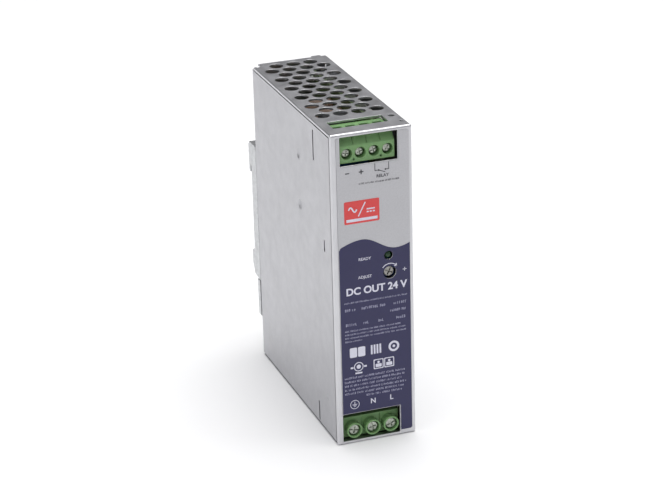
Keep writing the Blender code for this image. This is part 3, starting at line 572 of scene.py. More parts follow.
# ---- case ---------------------------------------------------------------------------------
def folded(name, x, y, z, open_sides, radius, slices=()):
    """Sheet metal folded along a box's edges, made thick inwards; slices are y of splits."""
    bm = bmesh.new()
    block(bm, x, y, z)
    gone = [f for f in bm.faces if any(f.normal.dot(Vector(way)) > 0.9 for way in open_sides)]
    bmesh.ops.delete(bm, geom=gone, context="FACES")
    folds = [e for e in bm.edges if len(e.link_faces) == 2]
    bmesh.ops.bevel(bm, geom=folds, offset=radius, offset_type="OFFSET", segments=8, profile=0.5,
                    affect="EDGES")
    for level in slices:
        bmesh.ops.bisect_plane(bm, geom=bm.verts[:] + bm.edges[:] + bm.faces[:], dist=1e-7,
                               plane_co=(0.0, level, 0.0), plane_no=(0.0, 1.0, 0.0))
    return change(made_from(bm, name, outward=False), "SOLIDIFY", thickness=SHEET, offset=-1.0,
                  use_even_offset=True)


def vents(bm, low, high):
    for row in range(VENT_ROWS):
        count = 4 - row % 2
        for place in range(count):
            middle = ((place - (count - 1) / 2) * VENT_PITCH[0], VENT_FIRST_Y + row * VENT_PITCH[1])
            punch(bm, "Z", circle(middle, VENT_RADIUS), low, high)


def make_chassis():
    inner = TOP - SHEET
    slices = [VENT_FIRST_Y + (row + 0.4) * VENT_PITCH[1] for row in range(-1, VENT_ROWS, 2)]
    piece = folded("chassis_sheet", (LEFT, RIGHT), (FRONT, REAR), (-TOP, TOP), [(0, 1, 0)],
                   BEND, slices)
    cut_block(piece, (LEFT - PAST, LEFT + SHEET + 0.05 * MM), (FRONT + BEND, 0.0),
              (-TOP + BEND, TOP - BEND))
    corner = bmesh.new()
    half = CORNER_CUT / math.sqrt(2.0)
    block(corner, (-half, half), (-2 * half, 2 * half), (-TOP - PAST, TOP + PAST))
    turn = Matrix.Rotation(math.radians(45.0), 4, "Z")
    corner.transform(Matrix.Translation((LEFT, REAR, 0.0)) @ turn)
    cut(piece, corner)
    join(piece, chassis_flange(inner))
    join(piece, chassis_additions(inner))
    cut(piece, front_holes(FRONT + SHEET))
    for low in (inner, -TOP):
        cut(piece, plate_holes(low))
    bores = bmesh.new()
    for z in PILLAR_Z:
        sink(bores, "X", circle((PILLAR_Y, z), 1.8 * MM), PILLAR_X, PILLAR_X + 4.0 * MM)
    cut(piece, bores)
    show(piece, "chassis", "sheet_metal")


def front_holes(back):
    holes = bmesh.new()
    punch(holes, "Y", rounded(*UPPER_WINDOW, 0.3 * MM), FRONT, back)
    punch(holes, "Y", rounded(*LOWER_WINDOW, 0.3 * MM), FRONT, back)
    punch(holes, "Y", circle((LED.centre.x, LED.centre.z), LED_HOLE), FRONT, back)
    punch(holes, "Y", circle((ROTOR.centre.x, ROTOR.centre.z), TRIMMER_HOLE), FRONT, back)
    return holes


def plate_holes(low):
    """Vents and the wire window of the top or bottom; the top has two more small holes."""
    holes = bmesh.new()
    punch(holes, "Z", rounded(*WIRE_WINDOW, 0.4 * MM), low, low + SHEET)
    vents(holes, low, low + SHEET)
    if low > 0:
        punch(holes, "Z", circle((12.8 * MM, FRONT + 12.6 * MM), 1.2 * MM), low, low + SHEET)
        punch(holes, "Z", circle((14.0 * MM, FRONT + 5.7 * MM), 0.8 * MM), low, low + SHEET)
    return holes


PILLAR_Y = Box("board_screw_1").centre.y
PILLAR_Z = (Box("board_screw_1").centre.z, Box("board_screw_2").centre.z)
PILLAR_X = Box("main_board").x[1] + GAP
FLANGE = (LEFT + SHEET + GAP, LEFT + 2 * SHEET + GAP)
FLANGE_WIDTH = 6.5 * MM


def chassis_flange(inner):
    """The stepped-in frame that the cover lies on."""
    whole = bmesh.new()
    ends = (FRONT + SHEET - 0.1 * MM, REAR - SHEET - GAP)
    block(whole, FLANGE, ends, (-inner - 0.1 * MM, inner + 0.1 * MM))
    plate = made_from(whole, "flange")
    opening = bmesh.new()
    slab(opening, "X", rounded((ends[0] + FLANGE_WIDTH, 4.0 * MM),
                               (-inner + FLANGE_WIDTH, inner - FLANGE_WIDTH), 2.0 * MM),
         FLANGE[0] - PAST, FLANGE[1] + PAST)
    settle(cut(plate, opening))
    ready = bmesh.new()
    ready.from_mesh(plate.data)
    bpy.data.objects.remove(plate, do_unlink=True)
    return ready


def chassis_additions(inner):
    """Locating tabs on the rear edges, and the pillars of the main board."""
    bm = bmesh.new()
    tab = rounded((9.5 * MM, 13.5 * MM), (REAR - MM, CASE.y[1]), 0.7 * MM)
    for low in (inner, -TOP):
        slab(bm, "Z", tab, low + CLEAR / 2, low + SHEET - CLEAR / 2)
    for z in PILLAR_Z:
        rod(bm, "X", circle((PILLAR_Y, z), 2.8 * MM),
            [(PILLAR_X, -0.2 * MM), (PILLAR_X + 0.2 * MM, 0.0), (RIGHT - SHEET / 2, 0.0)])
    return bm


def make_cover():
    """Left and rear wall: slots, pressed locating dimples, a lance and screw clearances."""
    open_sides = [(1, 0, 0), (0, -1, 0), (0, 0, 1), (0, 0, -1)]
    edges = (COVER.z[0] + SEAM, COVER.z[1] - SEAM)
    piece = folded("side_cover_sheet", COVER.x, (COVER.y[0] + SEAM, COVER.y[1]), edges, open_sides,
                   COVER_BEND)
    holes = bmesh.new()
    wall = (LEFT, LEFT + SHEET)
    for y, z in SLOTS:
        punch(holes, "X", rounded((y - SLOT_HALF, y + SLOT_HALF), z, 0.5 * MM), *wall, 0.05 * MM)
    punch(holes, "X", rounded(LANCE_Y, LANCE_Z, 0.3 * MM), *wall, 0.1 * MM)
    for y, z, radius in DIMPLES:
        depth = radius * DIMPLE_DEPTH
        ball = (radius ** 2 + depth ** 2) / (2 * depth)
        levels = [(LEFT - PAST, CLEAR), (LEFT - CLEAR, CLEAR)]
        for part in (0.12, 0.3, 0.5, 0.7, 0.85, 0.95, 0.995):
            across = math.sqrt(ball ** 2 - (ball - depth * (1.0 - part)) ** 2)
            levels.append((LEFT + depth * part, across - radius))
        rod(holes, "X", circle((y, z), radius), levels)
    for number in (1, 2):
        middle = Box(f"bracket_screw_{number}").centre
        punch(holes, "Y", circle((middle.x, middle.z), 1.8 * MM), REAR - SHEET, REAR)
    cut(piece, holes)
    lance = bmesh.new()
    prism(lance, "Z", lance_tab(), LANCE_Z[0] + 0.3 * MM, LANCE_Z[1] - 0.3 * MM)
    join(piece, lance)
    # the cover's darker metal is painted shade on its walls
    show(piece, "side_cover", "shaded_cover_metal")


SLOT_HALF = 0.55 * MM
SLOTS = [(FRONT + 18.9 * MM, (47.0 * MM, 59.1 * MM)), (FRONT + 20.4 * MM, (-60.8 * MM, -52.4 * MM))]
LANCE_Y = (FRONT + 8.4 * MM, FRONT + 9.9 * MM)
LANCE_Z = (14.2 * MM, 18.7 * MM)
DIMPLES = [(FRONT + 35.7 * MM, 43.9 * MM, 2.2 * MM), (FRONT + 35.7 * MM, 23.7 * MM, 2.2 * MM),
           (FRONT + 9.7 * MM, -46.1 * MM, 1.5 * MM)]
DIMPLE_DEPTH = 0.27          # of a dimple's radius


def lance_tab():
    """Section of the tongue that is pressed inwards at the lance, as (x, y) in mm."""
    x, y = LEFT / MM, LANCE_Y[0] / MM
    thick = SHEET / MM
    return [(x + 0.15, y - 0.2), (x + 0.35, y + 0.5), (x + 0.9, y + 1.15), (x + 1.5, y + 1.1),
            (x + thick + 0.35, y + 0.4), (x + thick - 0.1, y - 0.2)]


# ---- label and its printing ---------------------------------------------------------------
FILM_Y = (LABEL.y[0] + 0.08 * MM, LABEL.y[1])
INK_Y = (LABEL.y[0] + 0.03 * MM, LABEL.y[0] + 0.10 * MM)
MARK_Y = (LABEL.y[0], LABEL.y[0] + 0.05 * MM)
INK_MARGIN = 0.2             # mm between the dark zone and the film's edge
CAPITAL = 0.729              # height of a capital letter, of the font's size


def label_cutter():
    """The label stands back from the windows, and is open towards the case's edges beside them."""
    margin, beyond = 0.3 * MM, 4.0 * MM
    (left, right), (low, high) = UPPER_WINDOW
    outlines = [rounded((left - margin, right + margin), (low - margin, high + beyond), 0.5 * MM)]
    (left, right), (low, high) = LOWER_WINDOW
    outlines.append(rounded((left - beyond, right + margin), (low - beyond, high + margin),
                            0.5 * MM))
    for part, radius in ((LED, LED_HOLE), (ROTOR, TRIMMER_HOLE)):
        outlines.append(circle((part.centre.x, part.centre.z), radius, 48))
    holes = bmesh.new()
    for outline in outlines:
        slab(holes, "Y", outline, LABEL.y[0] - PAST, LABEL.y[1] + PAST)
    return holes


def wave(x):
    """Height of the printed zone's upper edge, in mm: a crest at the left, a dip at the right."""
    crest, dip, middle, swing = -4.3, 8.9, 18.0, 2.6
    if x < crest:
        return middle + swing * math.cos(math.pi * (x - crest) / 19.0)
    if x < dip:
        return middle + swing * math.cos(math.pi * (x - crest) / (dip - crest))
    return middle - swing + 1.2 * ((x - dip) / 5.3) ** 2


def make_label():
    silver = bmesh.new()
    slab(silver, "Y", rounded(LABEL.x, LABEL.z, 0.8 * MM), *FILM_Y)
    piece = cut(made_from(silver, "label_film"), label_cutter())
    show(piece, "front_label", "label_film")
    left, right = LABEL.x[0] / MM + INK_MARGIN, LABEL.x[1] / MM - INK_MARGIN
    bottom, corner, steps = LABEL.z[0] / MM, 0.9, 48
    top = []
    for k in range(steps + 1):
        x = left + (right - left) * k / steps
        edge = min(x - left, corner)
        top.append((x, wave(x) - corner + math.sqrt(corner ** 2 - (corner - edge) ** 2)))
    trim = 0.6
    points = [(left, bottom + trim), (left + trim, bottom), (right - trim, bottom),
              (right, bottom + trim)]
    navy = bmesh.new()
    prism(navy, "Y", points + list(reversed(top)), *INK_Y)
    piece = cut(made_from(navy, "label_navy_zone"), label_cutter())
    show(piece, "front_label", "navy_ink")


class Ink:
    """Marks of one colour, each a very thin solid on the label; measures are in millimetres."""

    def __init__(self, name, paint, depth=0.0):
        self.name, self.paint = name, paint
        self.bm = bmesh.new()
        self.y = (MARK_Y[0] + depth * MM, MARK_Y[1] + depth * MM)

    def bar(self, x, z):
        block(self.bm, (x[0] * MM, x[1] * MM), self.y, (z[0] * MM, z[1] * MM))

    def plate(self, x, z, radius):
        outline = rounded((x[0] * MM, x[1] * MM), (z[0] * MM, z[1] * MM), radius * MM)
        slab(self.bm, "Y", outline, *self.y)

    def disc(self, centre, radius):
        slab(self.bm, "Y", circle((centre[0] * MM, centre[1] * MM), radius * MM), *self.y)

    def strip(self, one, two, closed=False):
        """A band between two rows of points."""
        front, back = ([[self.bm.verts.new((a * MM, y, b * MM)) for a, b in row]
                        for row in (one, two)] for y in self.y)
        count = len(one)
        for k in range(count if closed else count - 1):
            n = (k + 1) % count
            (f1, f2), (b1, b2) = front, back
            self.bm.faces.new((f1[k], f1[n], f2[n], f2[k]))
            self.bm.faces.new((b1[k], b2[k], b2[n], b1[n]))
            self.bm.faces.new((f1[k], b1[k], b1[n], f1[n]))
            self.bm.faces.new((f2[k], f2[n], b2[n], b2[k]))
        if not closed:
            for k in (0, -1):
                self.bm.faces.new((front[0][k], front[1][k], back[1][k], back[0][k]))

    def ring(self, centre, radius, width, start=0.0, end=360.0, steps=36):
        closed = end - start >= 360.0
        count = steps if closed else steps + 1
        turns = [math.radians(start + (end - start) * k / steps) for k in range(count)]
        rows = [[(centre[0] + r * math.cos(t), centre[1] + r * math.sin(t)) for t in turns]
                for r in (radius - width / 2, radius + width / 2)]
        self.strip(*rows, closed)

    def stroke(self, points, width):
        for (ax, az), (bx, bz) in zip(points, points[1:]):
            along = Vector((bx - ax, bz - az)).normalized() * width / 2
            across = Vector((-along.y, along.x))
            start, end = Vector((ax, az)) - along, Vector((bx, bz)) + along
            self.strip([start - across, end - across], [start + across, end + across])

    def curve(self, points, width):
        """A smooth line through points that lie close together."""
        rows = ([], [])
        for k, (x, z) in enumerate(points):
            before, after = points[max(k - 1, 0)], points[min(k + 1, len(points) - 1)]
            along = Vector((after[0] - before[0], after[1] - before[1])).normalized()
            rows[0].append((x + along.y * width / 2, z - along.x * width / 2))
            rows[1].append((x - along.y * width / 2, z + along.x * width / 2))
        self.strip(*rows)

    def words(self, text, x, z, height, bold):
        """Generic words with their middle height at z."""
        font = bpy.data.curves.new(self.name + "_words", "FONT")
        font.body, font.align_x, font.align_y = text, "CENTER", "CENTER"
        font.size = height * MM / CAPITAL
        font.offset = bold * MM
        font.extrude = (self.y[1] - self.y[0]) / 2
        font.resolution_u = 4
        guide = placed(font.name, font)
        mesh = baked(guide)
        stand = Matrix.Rotation(math.radians(90.0), 4, "X")
        mesh.transform(Matrix.Translation((x * MM, sum(self.y) / 2, z * MM)) @ stand)
        letters = bmesh.new()
        letters.from_mesh(mesh)
        bmesh.ops.remove_doubles(letters, verts=letters.verts, dist=0.0005 * MM)
        letters.to_mesh(mesh)
        letters.free()
        self.bm.from_mesh(mesh)
        bpy.data.meshes.remove(mesh)
        bpy.data.objects.remove(guide, do_unlink=True)

    def small_print(self, x, z, height, seed):
        """A line of unreadable small print: groups of short upright and level strokes."""
        draw = random.Random(seed)
        pitch, thick = height * 0.72, height * 0.17
        at = x[0]
        while at < x[1] - pitch:
            for _ in range(draw.randint(2, 9)):
                if at > x[1] - pitch:
                    break
                low, high = z - height / 2, z + height / 2 * draw.choice((1.0, 1.0, 0.5))
                self.bar((at, at + thick), (low, high))
                level = (at + thick, at + pitch - thick * 1.6)
                if draw.random() < 0.55:
                    self.bar(level, (high - thick, high))
                if draw.random() < 0.45:
                    self.bar(level, (low, low + thick))
                if draw.random() < 0.5:
                    self.bar((at + pitch - thick * 2.4, at + pitch - thick * 1.4),
                             (low + thick, high - thick))
                at += pitch
            at += pitch * 0.7

    def done(self):
        show(made_from(self.bm, self.name), "front_label", self.paint)


def print_silver_zone():
    """Polarity, the signal contact under the two right-hand screws, and a line of small print."""
    dark = Ink("marks_dark", "dark_ink")
    x = [Box(f"output_screw_{n}").centre.x / MM for n in (1, 2, 3, 4)]
    dark.bar((x[0] - 1.3, x[0] + 0.3), (47.0, 47.4))
    dark.bar((x[1] - 1.3, x[1] + 0.5), (47.0, 47.4))
    dark.bar((x[1] - 0.6, x[1] - 0.2), (46.3, 48.1))
    low, level, line = 46.4, 46.9, 0.24
    dark.stroke([(x[2] - 0.3, 49.6), (x[2] - 0.3, level), (x[2] + 1.2, level)], line)
    dark.stroke([(x[3] - 0.2, 49.6), (x[3] - 0.2, level), (x[3] - 1.5, level)], line)
    dark.stroke([(x[2] + 1.2, level), (x[3] - 1.7, low - 0.5)], line)
    dark.disc((x[2] + 1.2, level), 0.32)
    dark.disc((x[3] - 1.5, level), 0.32)
    dark.words("RELAY", (x[2] + x[3]) / 2, 44.6, 1.25, 0.02)
    dark.small_print((-5.2, 11.0), 42.6, 0.62, 3)
    dark.done()


def print_badge():
    """A plain converter sign, alternating to direct current, on a red plate."""
    x, z = (-11.2, 2.6), (27.3, 36.2)
    red = Ink("badge_plate", "red_ink", 0.02)
    red.plate(x, z, 0.5)
    red.done()
    white = Ink("badge_marks", "white_ink")
    middle = (x[0] + x[1]) / 2
    white.stroke([(middle - 1.3, z[0] + 2.9), (middle + 1.3, z[1] - 1.1)], 0.45)
    white.curve([(middle - 5.2 + 3.2 * k / 24, z[1] - 3.4 + 0.95 * math.sin(math.tau * k / 24))
                 for k in range(25)], 0.55)
    white.bar((middle + 1.9, middle + 5.1), (z[0] + 4.9, z[0] + 5.4))
    for k in range(3):
        start = middle + 1.9 + 1.2 * k
        white.bar((start, start + 0.8), (z[0] + 3.8, z[0] + 4.3))
    white.bar((x[0] + 0.8, x[1] - 0.8), (z[0] + 0.8, z[0] + 1.9))
    white.done()


def print_navy_zone():
    """Captions and title; the rating and approval lines are unreadable small print."""
    white = Ink("marks_white", "white_ink")
    led, trim = (part.centre.x / MM for part in (LED, ROTOR))
    led_z, trim_z = LED.centre.z / MM, ROTOR.centre.z / MM
    white.words("READY", -3.6, led_z, 1.15, 0.015)
    white.words("ADJUST", -3.6, trim_z - 0.3, 1.15, 0.015)
    radius, tip = 3.55, 38.0
    white.ring((trim, trim_z), radius, 0.3, tip, 180.0 - tip)
    angle = math.radians(tip)
    end = Vector((trim + radius * math.cos(angle), trim_z + radius * math.sin(angle)))
    white.stroke([(end.x - 0.2, end.y + 0.95), (end.x, end.y), (end.x - 1.0, end.y + 0.1)], 0.28)
    x, z = trim + 5.9, trim_z + 0.4
    for wide, high in ((0.75, 0.13), (0.13, 0.75)):
        white.bar((x - wide, x + wide), (z - high, z + high))
    white.words("DC OUT 24 V", 0.85, 0.15, 2.93, 0.12)
    print_icons(white)
    print_terminal_signs(white)
    white.done()
    pale = Ink("small_print", "pale_ink")
    pale.small_print((-12.0, 13.4), -4.1, 0.62, 11)
    for x in ((-11.8, -7.2), (-5.2, 4.6), (7.6, 13.2)):
        pale.small_print(x, -7.0, 1.05, int(x[0] * 10) + 900)
    pale.small_print((6.2, 13.2), -9.8, 0.95, 5)
    for x in ((-11.6, -6.2), (-4.6, -1.6), (1.4, 4.2), (8.6, 13.0)):
        pale.small_print(x, -13.0, 1.05, int(x[0] * 10) + 700)
    for number, (x, z) in enumerate((((-12.0, 11.0), -15.6), ((-12.0, 13.0), -17.0),
                                     ((-12.0, 13.2), -18.4), ((-12.0, -5.0), -19.8))):
        pale.small_print(x, z, 0.62, 20 + number)
    for number in range(6):
        right = 12.6 - 0.9 * (number % 3)
        left = -12.6 if number < 5 else -4.0
        pale.small_print((left, right), -34.9 - 1.62 * number, 0.78, 40 + number)
    pale.done()


def print_icons(ink):
    """Plain shapes where the approval marks were."""
    z = -24.6
    for x in (-8.9, -5.6):
        ink.plate((x - 1.45, x + 1.45), (z - 2.0, z + 2.0), 0.5)
    for k in range(4):
        ink.bar((-1.9 + 1.15 * k, -1.2 + 1.15 * k), (z - 1.9, z + 1.9))
    ink.ring((7.4, z), 1.75, 0.85)
    ink.disc((7.4, z), 0.55)
    z = -31.0
    ink.ring((-6.9, z + 0.3), 1.75, 0.32)
    ink.disc((-6.9, z + 0.3), 0.85)
    for x in (-9.6, -4.2):
        ink.bar((x - 0.55, x + 0.55), (z - 0.2, z + 0.5))
    ink.bar((-8.3, -5.5), (z - 2.6, z - 2.0))
    for x in ((-0.9, 3.1), (3.4, 7.4)):
        frame_rows = [rounded((x[0] + g, x[1] - g), (z - 1.9 + g, z + 2.1 - g), 0.35)(0.0)
                      for g in (0.0, 0.35)]
        ink.strip(*frame_rows, closed=True)
        ink.plate((x[0] + 0.8, x[1] - 0.8), (z - 1.2, z + 0.2), 0.3)
        ink.disc(((x[0] + x[1]) / 2, z + 0.85), 0.5)


def print_terminal_signs(ink):
    """Earth, neutral and line signs above the lower terminals."""
    x = [Box(f"input_screw_{n}").centre.x / MM for n in (1, 2, 3)]
    z = -46.2
    ink.ring((x[0], z), 1.75, 0.22)
    ink.bar((x[0] - 0.11, x[0] + 0.11), (z, z + 1.2))
    for k in range(3):
        half = 0.95 - 0.32 * k
        ink.bar((x[0] - half, x[0] + half), (z - 0.1 - 0.42 * k, z + 0.1 - 0.42 * k))
    ink.words("N", x[1], z + 0.2, 2.1, 0.05)
    ink.words("L", x[2], z + 0.4, 2.1, 0.05)


# ---- terminal blocks ----------------------------------------------------------------------
class Poles:
    """Measures of one terminal block, from its CAD parts."""

    def __init__(self, prefix, count, head_thick, shank, bar_thick, cage_wall, travel, chamber_z,
                 funnel_z, head_less):
        self.prefix, self.numbers, self.head_less = prefix, range(1, count + 1), head_less
        self.screws, self.clamps, self.contacts = (
            [Box(f"{prefix}_{part}_{n}") for n in self.numbers]
            for part in ("screw", "clamp", "contact"))
        self.head_thick, self.shank, self.bar_thick = head_thick * MM, shank * MM, bar_thick * MM
        self.cage_wall, self.travel = cage_wall * MM, travel * MM
        self.chamber_z = [z * MM for z in chamber_z]
        self.funnel_z = [z * MM for z in funnel_z]


OUTPUT = Poles("output", 4, 1.6, 1.0, 0.8, 0.55, 2.0, (51.2, 58.4), (58.0, 63.0), 0.22)
INPUT = Poles("input", 3, 1.8, 1.45, 1.0, 0.8, 2.5, (-60.0, -53.7), (-63.0, -59.6), 0.1)


def pole_cutters(kind, mouth, rear, leg):
    """Cutters of one block: chambers, wire funnels, contact slots, screw wells and bores."""
    groups = [bmesh.new() for _ in range(4)]
    chambers, funnels, slots, wells = groups
    for screw, clamp, contact in zip(kind.screws, kind.clamps, kind.contacts):
        seat = screw.y[0] + kind.head_thick + GAP
        front = clamp.y[0] - kind.travel - GAP
        back = clamp.y[1] + GAP + 0.2 * MM
        block(chambers, (clamp.x[0] - GAP, clamp.x[1] + GAP), (front, back), kind.chamber_z)
        outer = kind.funnel_z[1] if kind.funnel_z[1] > 0 else kind.funnel_z[0]
        face = UPPER.z[1] if outer > 0 else LOWER.z[0]
        inner = kind.funnel_z[0] if outer > 0 else kind.funnel_z[1]
        bar_rear = contact.y[0] + kind.bar_thick
        entry = rounded((clamp.x[0] + 0.1 * MM, clamp.x[1] - 0.1 * MM),
                        (bar_rear - 0.4 * MM, clamp.y[1] - kind.cage_wall + 0.4 * MM), 0.5 * MM)
        sink(funnels, "Z", entry, face, inner, 0.3 * MM)
        block(slots, (contact.x[0] - GAP, contact.x[1] + GAP), (back - MM, rear + MM),
              (leg[0] * MM - GAP, leg[1] * MM + GAP))
        middle = (screw.centre.x, screw.centre.z)
        radius = (screw.x[1] - screw.x[0]) / 2 + GAP
        sink(wells, "Y", circle(middle, radius, 40), mouth, seat)
        slab(wells, "Y", circle(middle, kind.shank + GAP, 24), seat + 0.02 * MM, front + 0.5 * MM)
    return groups


def make_upper_block():
    rear, left, right = UPPER.y[1], UPPER.x[0], UPPER.x[1]
    front, low, high = UPPER.y[0] / MM, UPPER.z[0] / MM, UPPER.z[1] / MM
    points = [(front, low), (front, high - 4.0), (front + 3.4, high), (rear / MM, high),
              (rear / MM, low)]
    bm = bmesh.new()
    prism(bm, "X", points, left, right)
    piece = settle(ease(made_from(bm, "upper_terminal_block"), 0.25 * MM, 3))
    details = bmesh.new()
    middles = [screw.centre.x for screw in OUTPUT.screws]
    for one, two in zip(middles, middles[1:]):
        seam = (one + two) / 2
        block(details, (seam - 0.09 * MM, seam + 0.09 * MM),
              (UPPER.y[0] - MM, UPPER.y[0] + 3.6 * MM), ((high - 3.75) * MM, (high + 1.0) * MM))
    for one, two in (middles[0:2], middles[2:4]):
        sink(details, "Y", circle(((one + two) / 2, (low + 1.2) * MM), 0.42 * MM, 20), UPPER.y[0],
             UPPER.y[0] + 0.9 * MM, 0.08 * MM)
    cut(piece, details)
    for group in pole_cutters(OUTPUT, UPPER.y[0], rear, (51.5, 52.0)):
        cut(piece, group)
    show(piece, "output_terminal_housing", "green_plastic")


def make_lower_block():
    rear, left, right = LOWER.y[1], LOWER.x[0], LOWER.x[1]
    face = LOWER.y[0] + 3.2 * MM
    low, high = LOWER.z
    bm = bmesh.new()
    prism(bm, "X", [(face / MM, low / MM), (face / MM, high / MM), (rear / MM, high / MM),
                    (rear / MM, low / MM)], left, right)
    piece = settle(ease(made_from(bm, "lower_terminal_block"), 0.25 * MM, 3))
    collars = bmesh.new()
    details = bmesh.new()
    for screw in INPUT.screws:
        middle = (screw.centre.x, screw.centre.z)
        rod(collars, "Y", circle(middle, 3.1 * MM, 48),
            [(LOWER.y[0], -0.16 * MM), (LOWER.y[0] + 0.05 * MM, -0.05 * MM),
             (LOWER.y[0] + 0.16 * MM, 0.0), (face + 0.7 * MM, 0.0)])
    middles = [screw.centre.x for screw in INPUT.screws]
    for one, two in zip(middles, middles[1:]):
        seam = (one + two) / 2
        block(details, (seam - 0.1 * MM, seam + 0.1 * MM), (face - MM, face + 0.3 * MM),
              (low - MM, high + MM))
    join(piece, collars)
    cut(piece, details)
    for group in pole_cutters(INPUT, LOWER.y[0], rear, (-54.9, -54.1)):
        cut(piece, group)
    show(piece, "input_terminal_housing", "green_plastic")


def thread(radius, start, end, pitch):
    """Profile of ridges along a shank, in mm, running down."""
    ridge = pitch * 0.3
    points, height = [], start
    while height - pitch > end:
        points += [(radius - ridge, height), (radius, height - pitch * 0.4),
                   (radius, height - pitch * 0.6)]
        height -= pitch
    return points + [(radius - ridge, height), (radius - ridge, end)]


def cross_slot(piece, centre, deep, *arms):
    """Cut a driver's slot; each arm is its half width and half height."""
    for wide, high in arms:
        cut_block(piece, (centre[0] - wide, centre[0] + wide), deep,
                  (centre[2] - high, centre[2] + high))


def make_terminal_screws(kind, pitch):
    """Cheese-head screws with a combined slot."""
    for number, screw in zip(kind.numbers, kind.screws):
        head = (screw.x[1] - screw.x[0]) / 2 / MM - kind.head_less
        top, shank = kind.head_thick / MM, kind.shank / MM
        length = (screw.y[1] - screw.y[0]) / MM - top
        profile = [(0.0, top), (head * 0.55, top - 0.02)]
        profile += [(head - 0.34, top - 0.08)] + arc((head - 0.3, top - 0.4), 0.3, 80, 0)
        profile += [(head, 0.12), (head - 0.12, 0.0), (shank, 0.0)]
        profile += thread(shank, -0.3, -length + 0.25, pitch)
        profile += [(shank * 0.6, -length), (0.0, -length)]
        shoulder = (screw.centre.x, screw.y[0] + kind.head_thick, screw.centre.z)
        piece = turned(f"{kind.prefix}_screw_{number}_body", profile, shoulder, (0, -1, 0))
        size = head * MM
        cross_slot(piece, screw.centre, (screw.y[0] - PAST, screw.y[0] + 0.85 * MM),
                   (size * 1.2, size * 0.15), (size * 0.15, size * 0.62))
        spin(piece, shoulder, math.radians(SCREW_TURNS[number - 1]))
        show(piece, f"{kind.prefix}_screw_{number}", "screw_steel")


SCREW_TURNS = (12.0, 74.0, 158.0, 35.0)          # degrees, as the screws were left


# ---- indicator, trimmer, bracket, latch ---------------------------------------------------
def make_indicator():
    radius, length = (LED.x[1] - LED.x[0]) / 2 / MM, (LED.y[1] - LED.y[0]) / MM
    lens = 1.45
    profile = arc((0.0, length - lens), lens, 90, 0, 8)
    profile[0] = (0.0, length)
    profile += [(lens, 1.0), (radius - 0.1, 1.0), (radius, 0.9), (radius, 0.0), (0.0, 0.0)]
    middle = (LED.centre.x, LED.y[1], LED.centre.z)
    show(turned("status_led_lens", profile, middle, (0, -1, 0)), "status_led", "green_lens")


def make_trimmer():
    refine("trimmer_body", 0.12, "blue_plastic")
    radius, length = (ROTOR.x[1] - ROTOR.x[0]) / 2 / MM, (ROTOR.y[1] - ROTOR.y[0]) / MM
    profile = [(0.0, length), (radius - 0.5, length - 0.02)]
    profile += arc((radius - 0.3, length - 0.3), 0.3, 80, 0) + [(radius, 0.0), (0.0, 0.0)]
    middle = (ROTOR.centre.x, ROTOR.y[1], ROTOR.centre.z)
    piece = turned("trimmer_rotor_body", profile, middle, (0, -1, 0))
    long, thin = 1.5 * MM, 0.27 * MM
    cross_slot(piece, middle, (ROTOR.y[0] - PAST, ROTOR.y[0] + 0.8 * MM), (long, thin),
               (thin, long))
    spin(piece, middle, math.radians(28.0))
    show(piece, "trimmer_rotor", "grey_plastic")


def make_bracket():
    refine("rail_bracket", 0.3, "bracket_metal")
    refine("latch_slider", 0.25, "bracket_metal")
    for number in (1, 2):
        screw = Box(f"bracket_screw_{number}")
        head = (screw.x[1] - screw.x[0]) / 2 / MM
        length = (screw.y[1] - screw.y[0]) / MM
        profile = [(0.0, length), (head * 0.5, length - 0.08), (head * 0.8, length - 0.3)]
        profile += [(head - 0.05, length - 0.8), (head, length - 1.1), (head, length - 2.0)]
        shank = [(radius, height + length - 2.0)
                 for radius, height in thread(1.5, -0.3, 2.2 - length, 0.5)]
        profile += [(1.5, length - 2.0)] + shank + [(0.8, 0.0), (0.0, 0.0)]
        piece = turned(f"bracket_screw_{number}_body", profile,
                       (screw.centre.x, screw.y[0], screw.centre.z), (0, 1, 0))
        long, thin = 1.7 * MM, 0.32 * MM
        cross_slot(piece, screw.centre, (screw.y[1] - 1.1 * MM, screw.y[1] + PAST), (long, thin),
                   (thin, long))
        show(piece, f"bracket_screw_{number}", "screw_steel")


def make_spring():
    """A smooth coil with closed end turns."""
    spring = Box("latch_spring")
    wire = 0.25 * MM
    radius = (spring.x[1] - spring.x[0]) / 2 - wire
    low, high = spring.z[0] + wire, spring.z[1] - wire
    turns, per_turn, closed = 9, 28, 1.0
    count = turns * per_turn
    centre_y = (spring.y[0] + spring.y[1]) / 2
    curve = bpy.data.curves.new("latch_spring_coil", "CURVE")
    curve.dimensions = "3D"
    curve.bevel_depth, curve.bevel_resolution, curve.use_fill_caps = wire, 3, True
    line = curve.splines.new("POLY")
    line.points.add(count)
    end_pitch = 2.1 * wire
    free = (high - low - 2 * closed * end_pitch) / (turns - 2 * closed)
    for k, point in enumerate(line.points):
        turn = k / per_turn
        height = low + end_pitch * min(turn, closed)
        height += free * min(max(turn - closed, 0.0), turns - 2 * closed)
        height += end_pitch * max(turn - (turns - closed), 0.0)
        point.co = (radius * math.cos(math.tau * turn),
                    centre_y + radius * math.sin(math.tau * turn), height, 1.0)
    guide = placed("coil_guide", curve)
    mesh = baked(guide)
    bpy.data.objects.remove(guide, do_unlink=True)
    bm = bmesh.new()
    bm.from_mesh(mesh)
    bmesh.ops.remove_doubles(bm, verts=bm.verts, dist=0.001 * MM)
    piece = settle(made_from(bm, "latch_spring_coil"))
    piece.data.materials.append(PAINTS["spring_steel"].material)
    piece.data.shade_smooth()
    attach(piece, "case")
    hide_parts("latch_spring")
    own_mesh(piece)


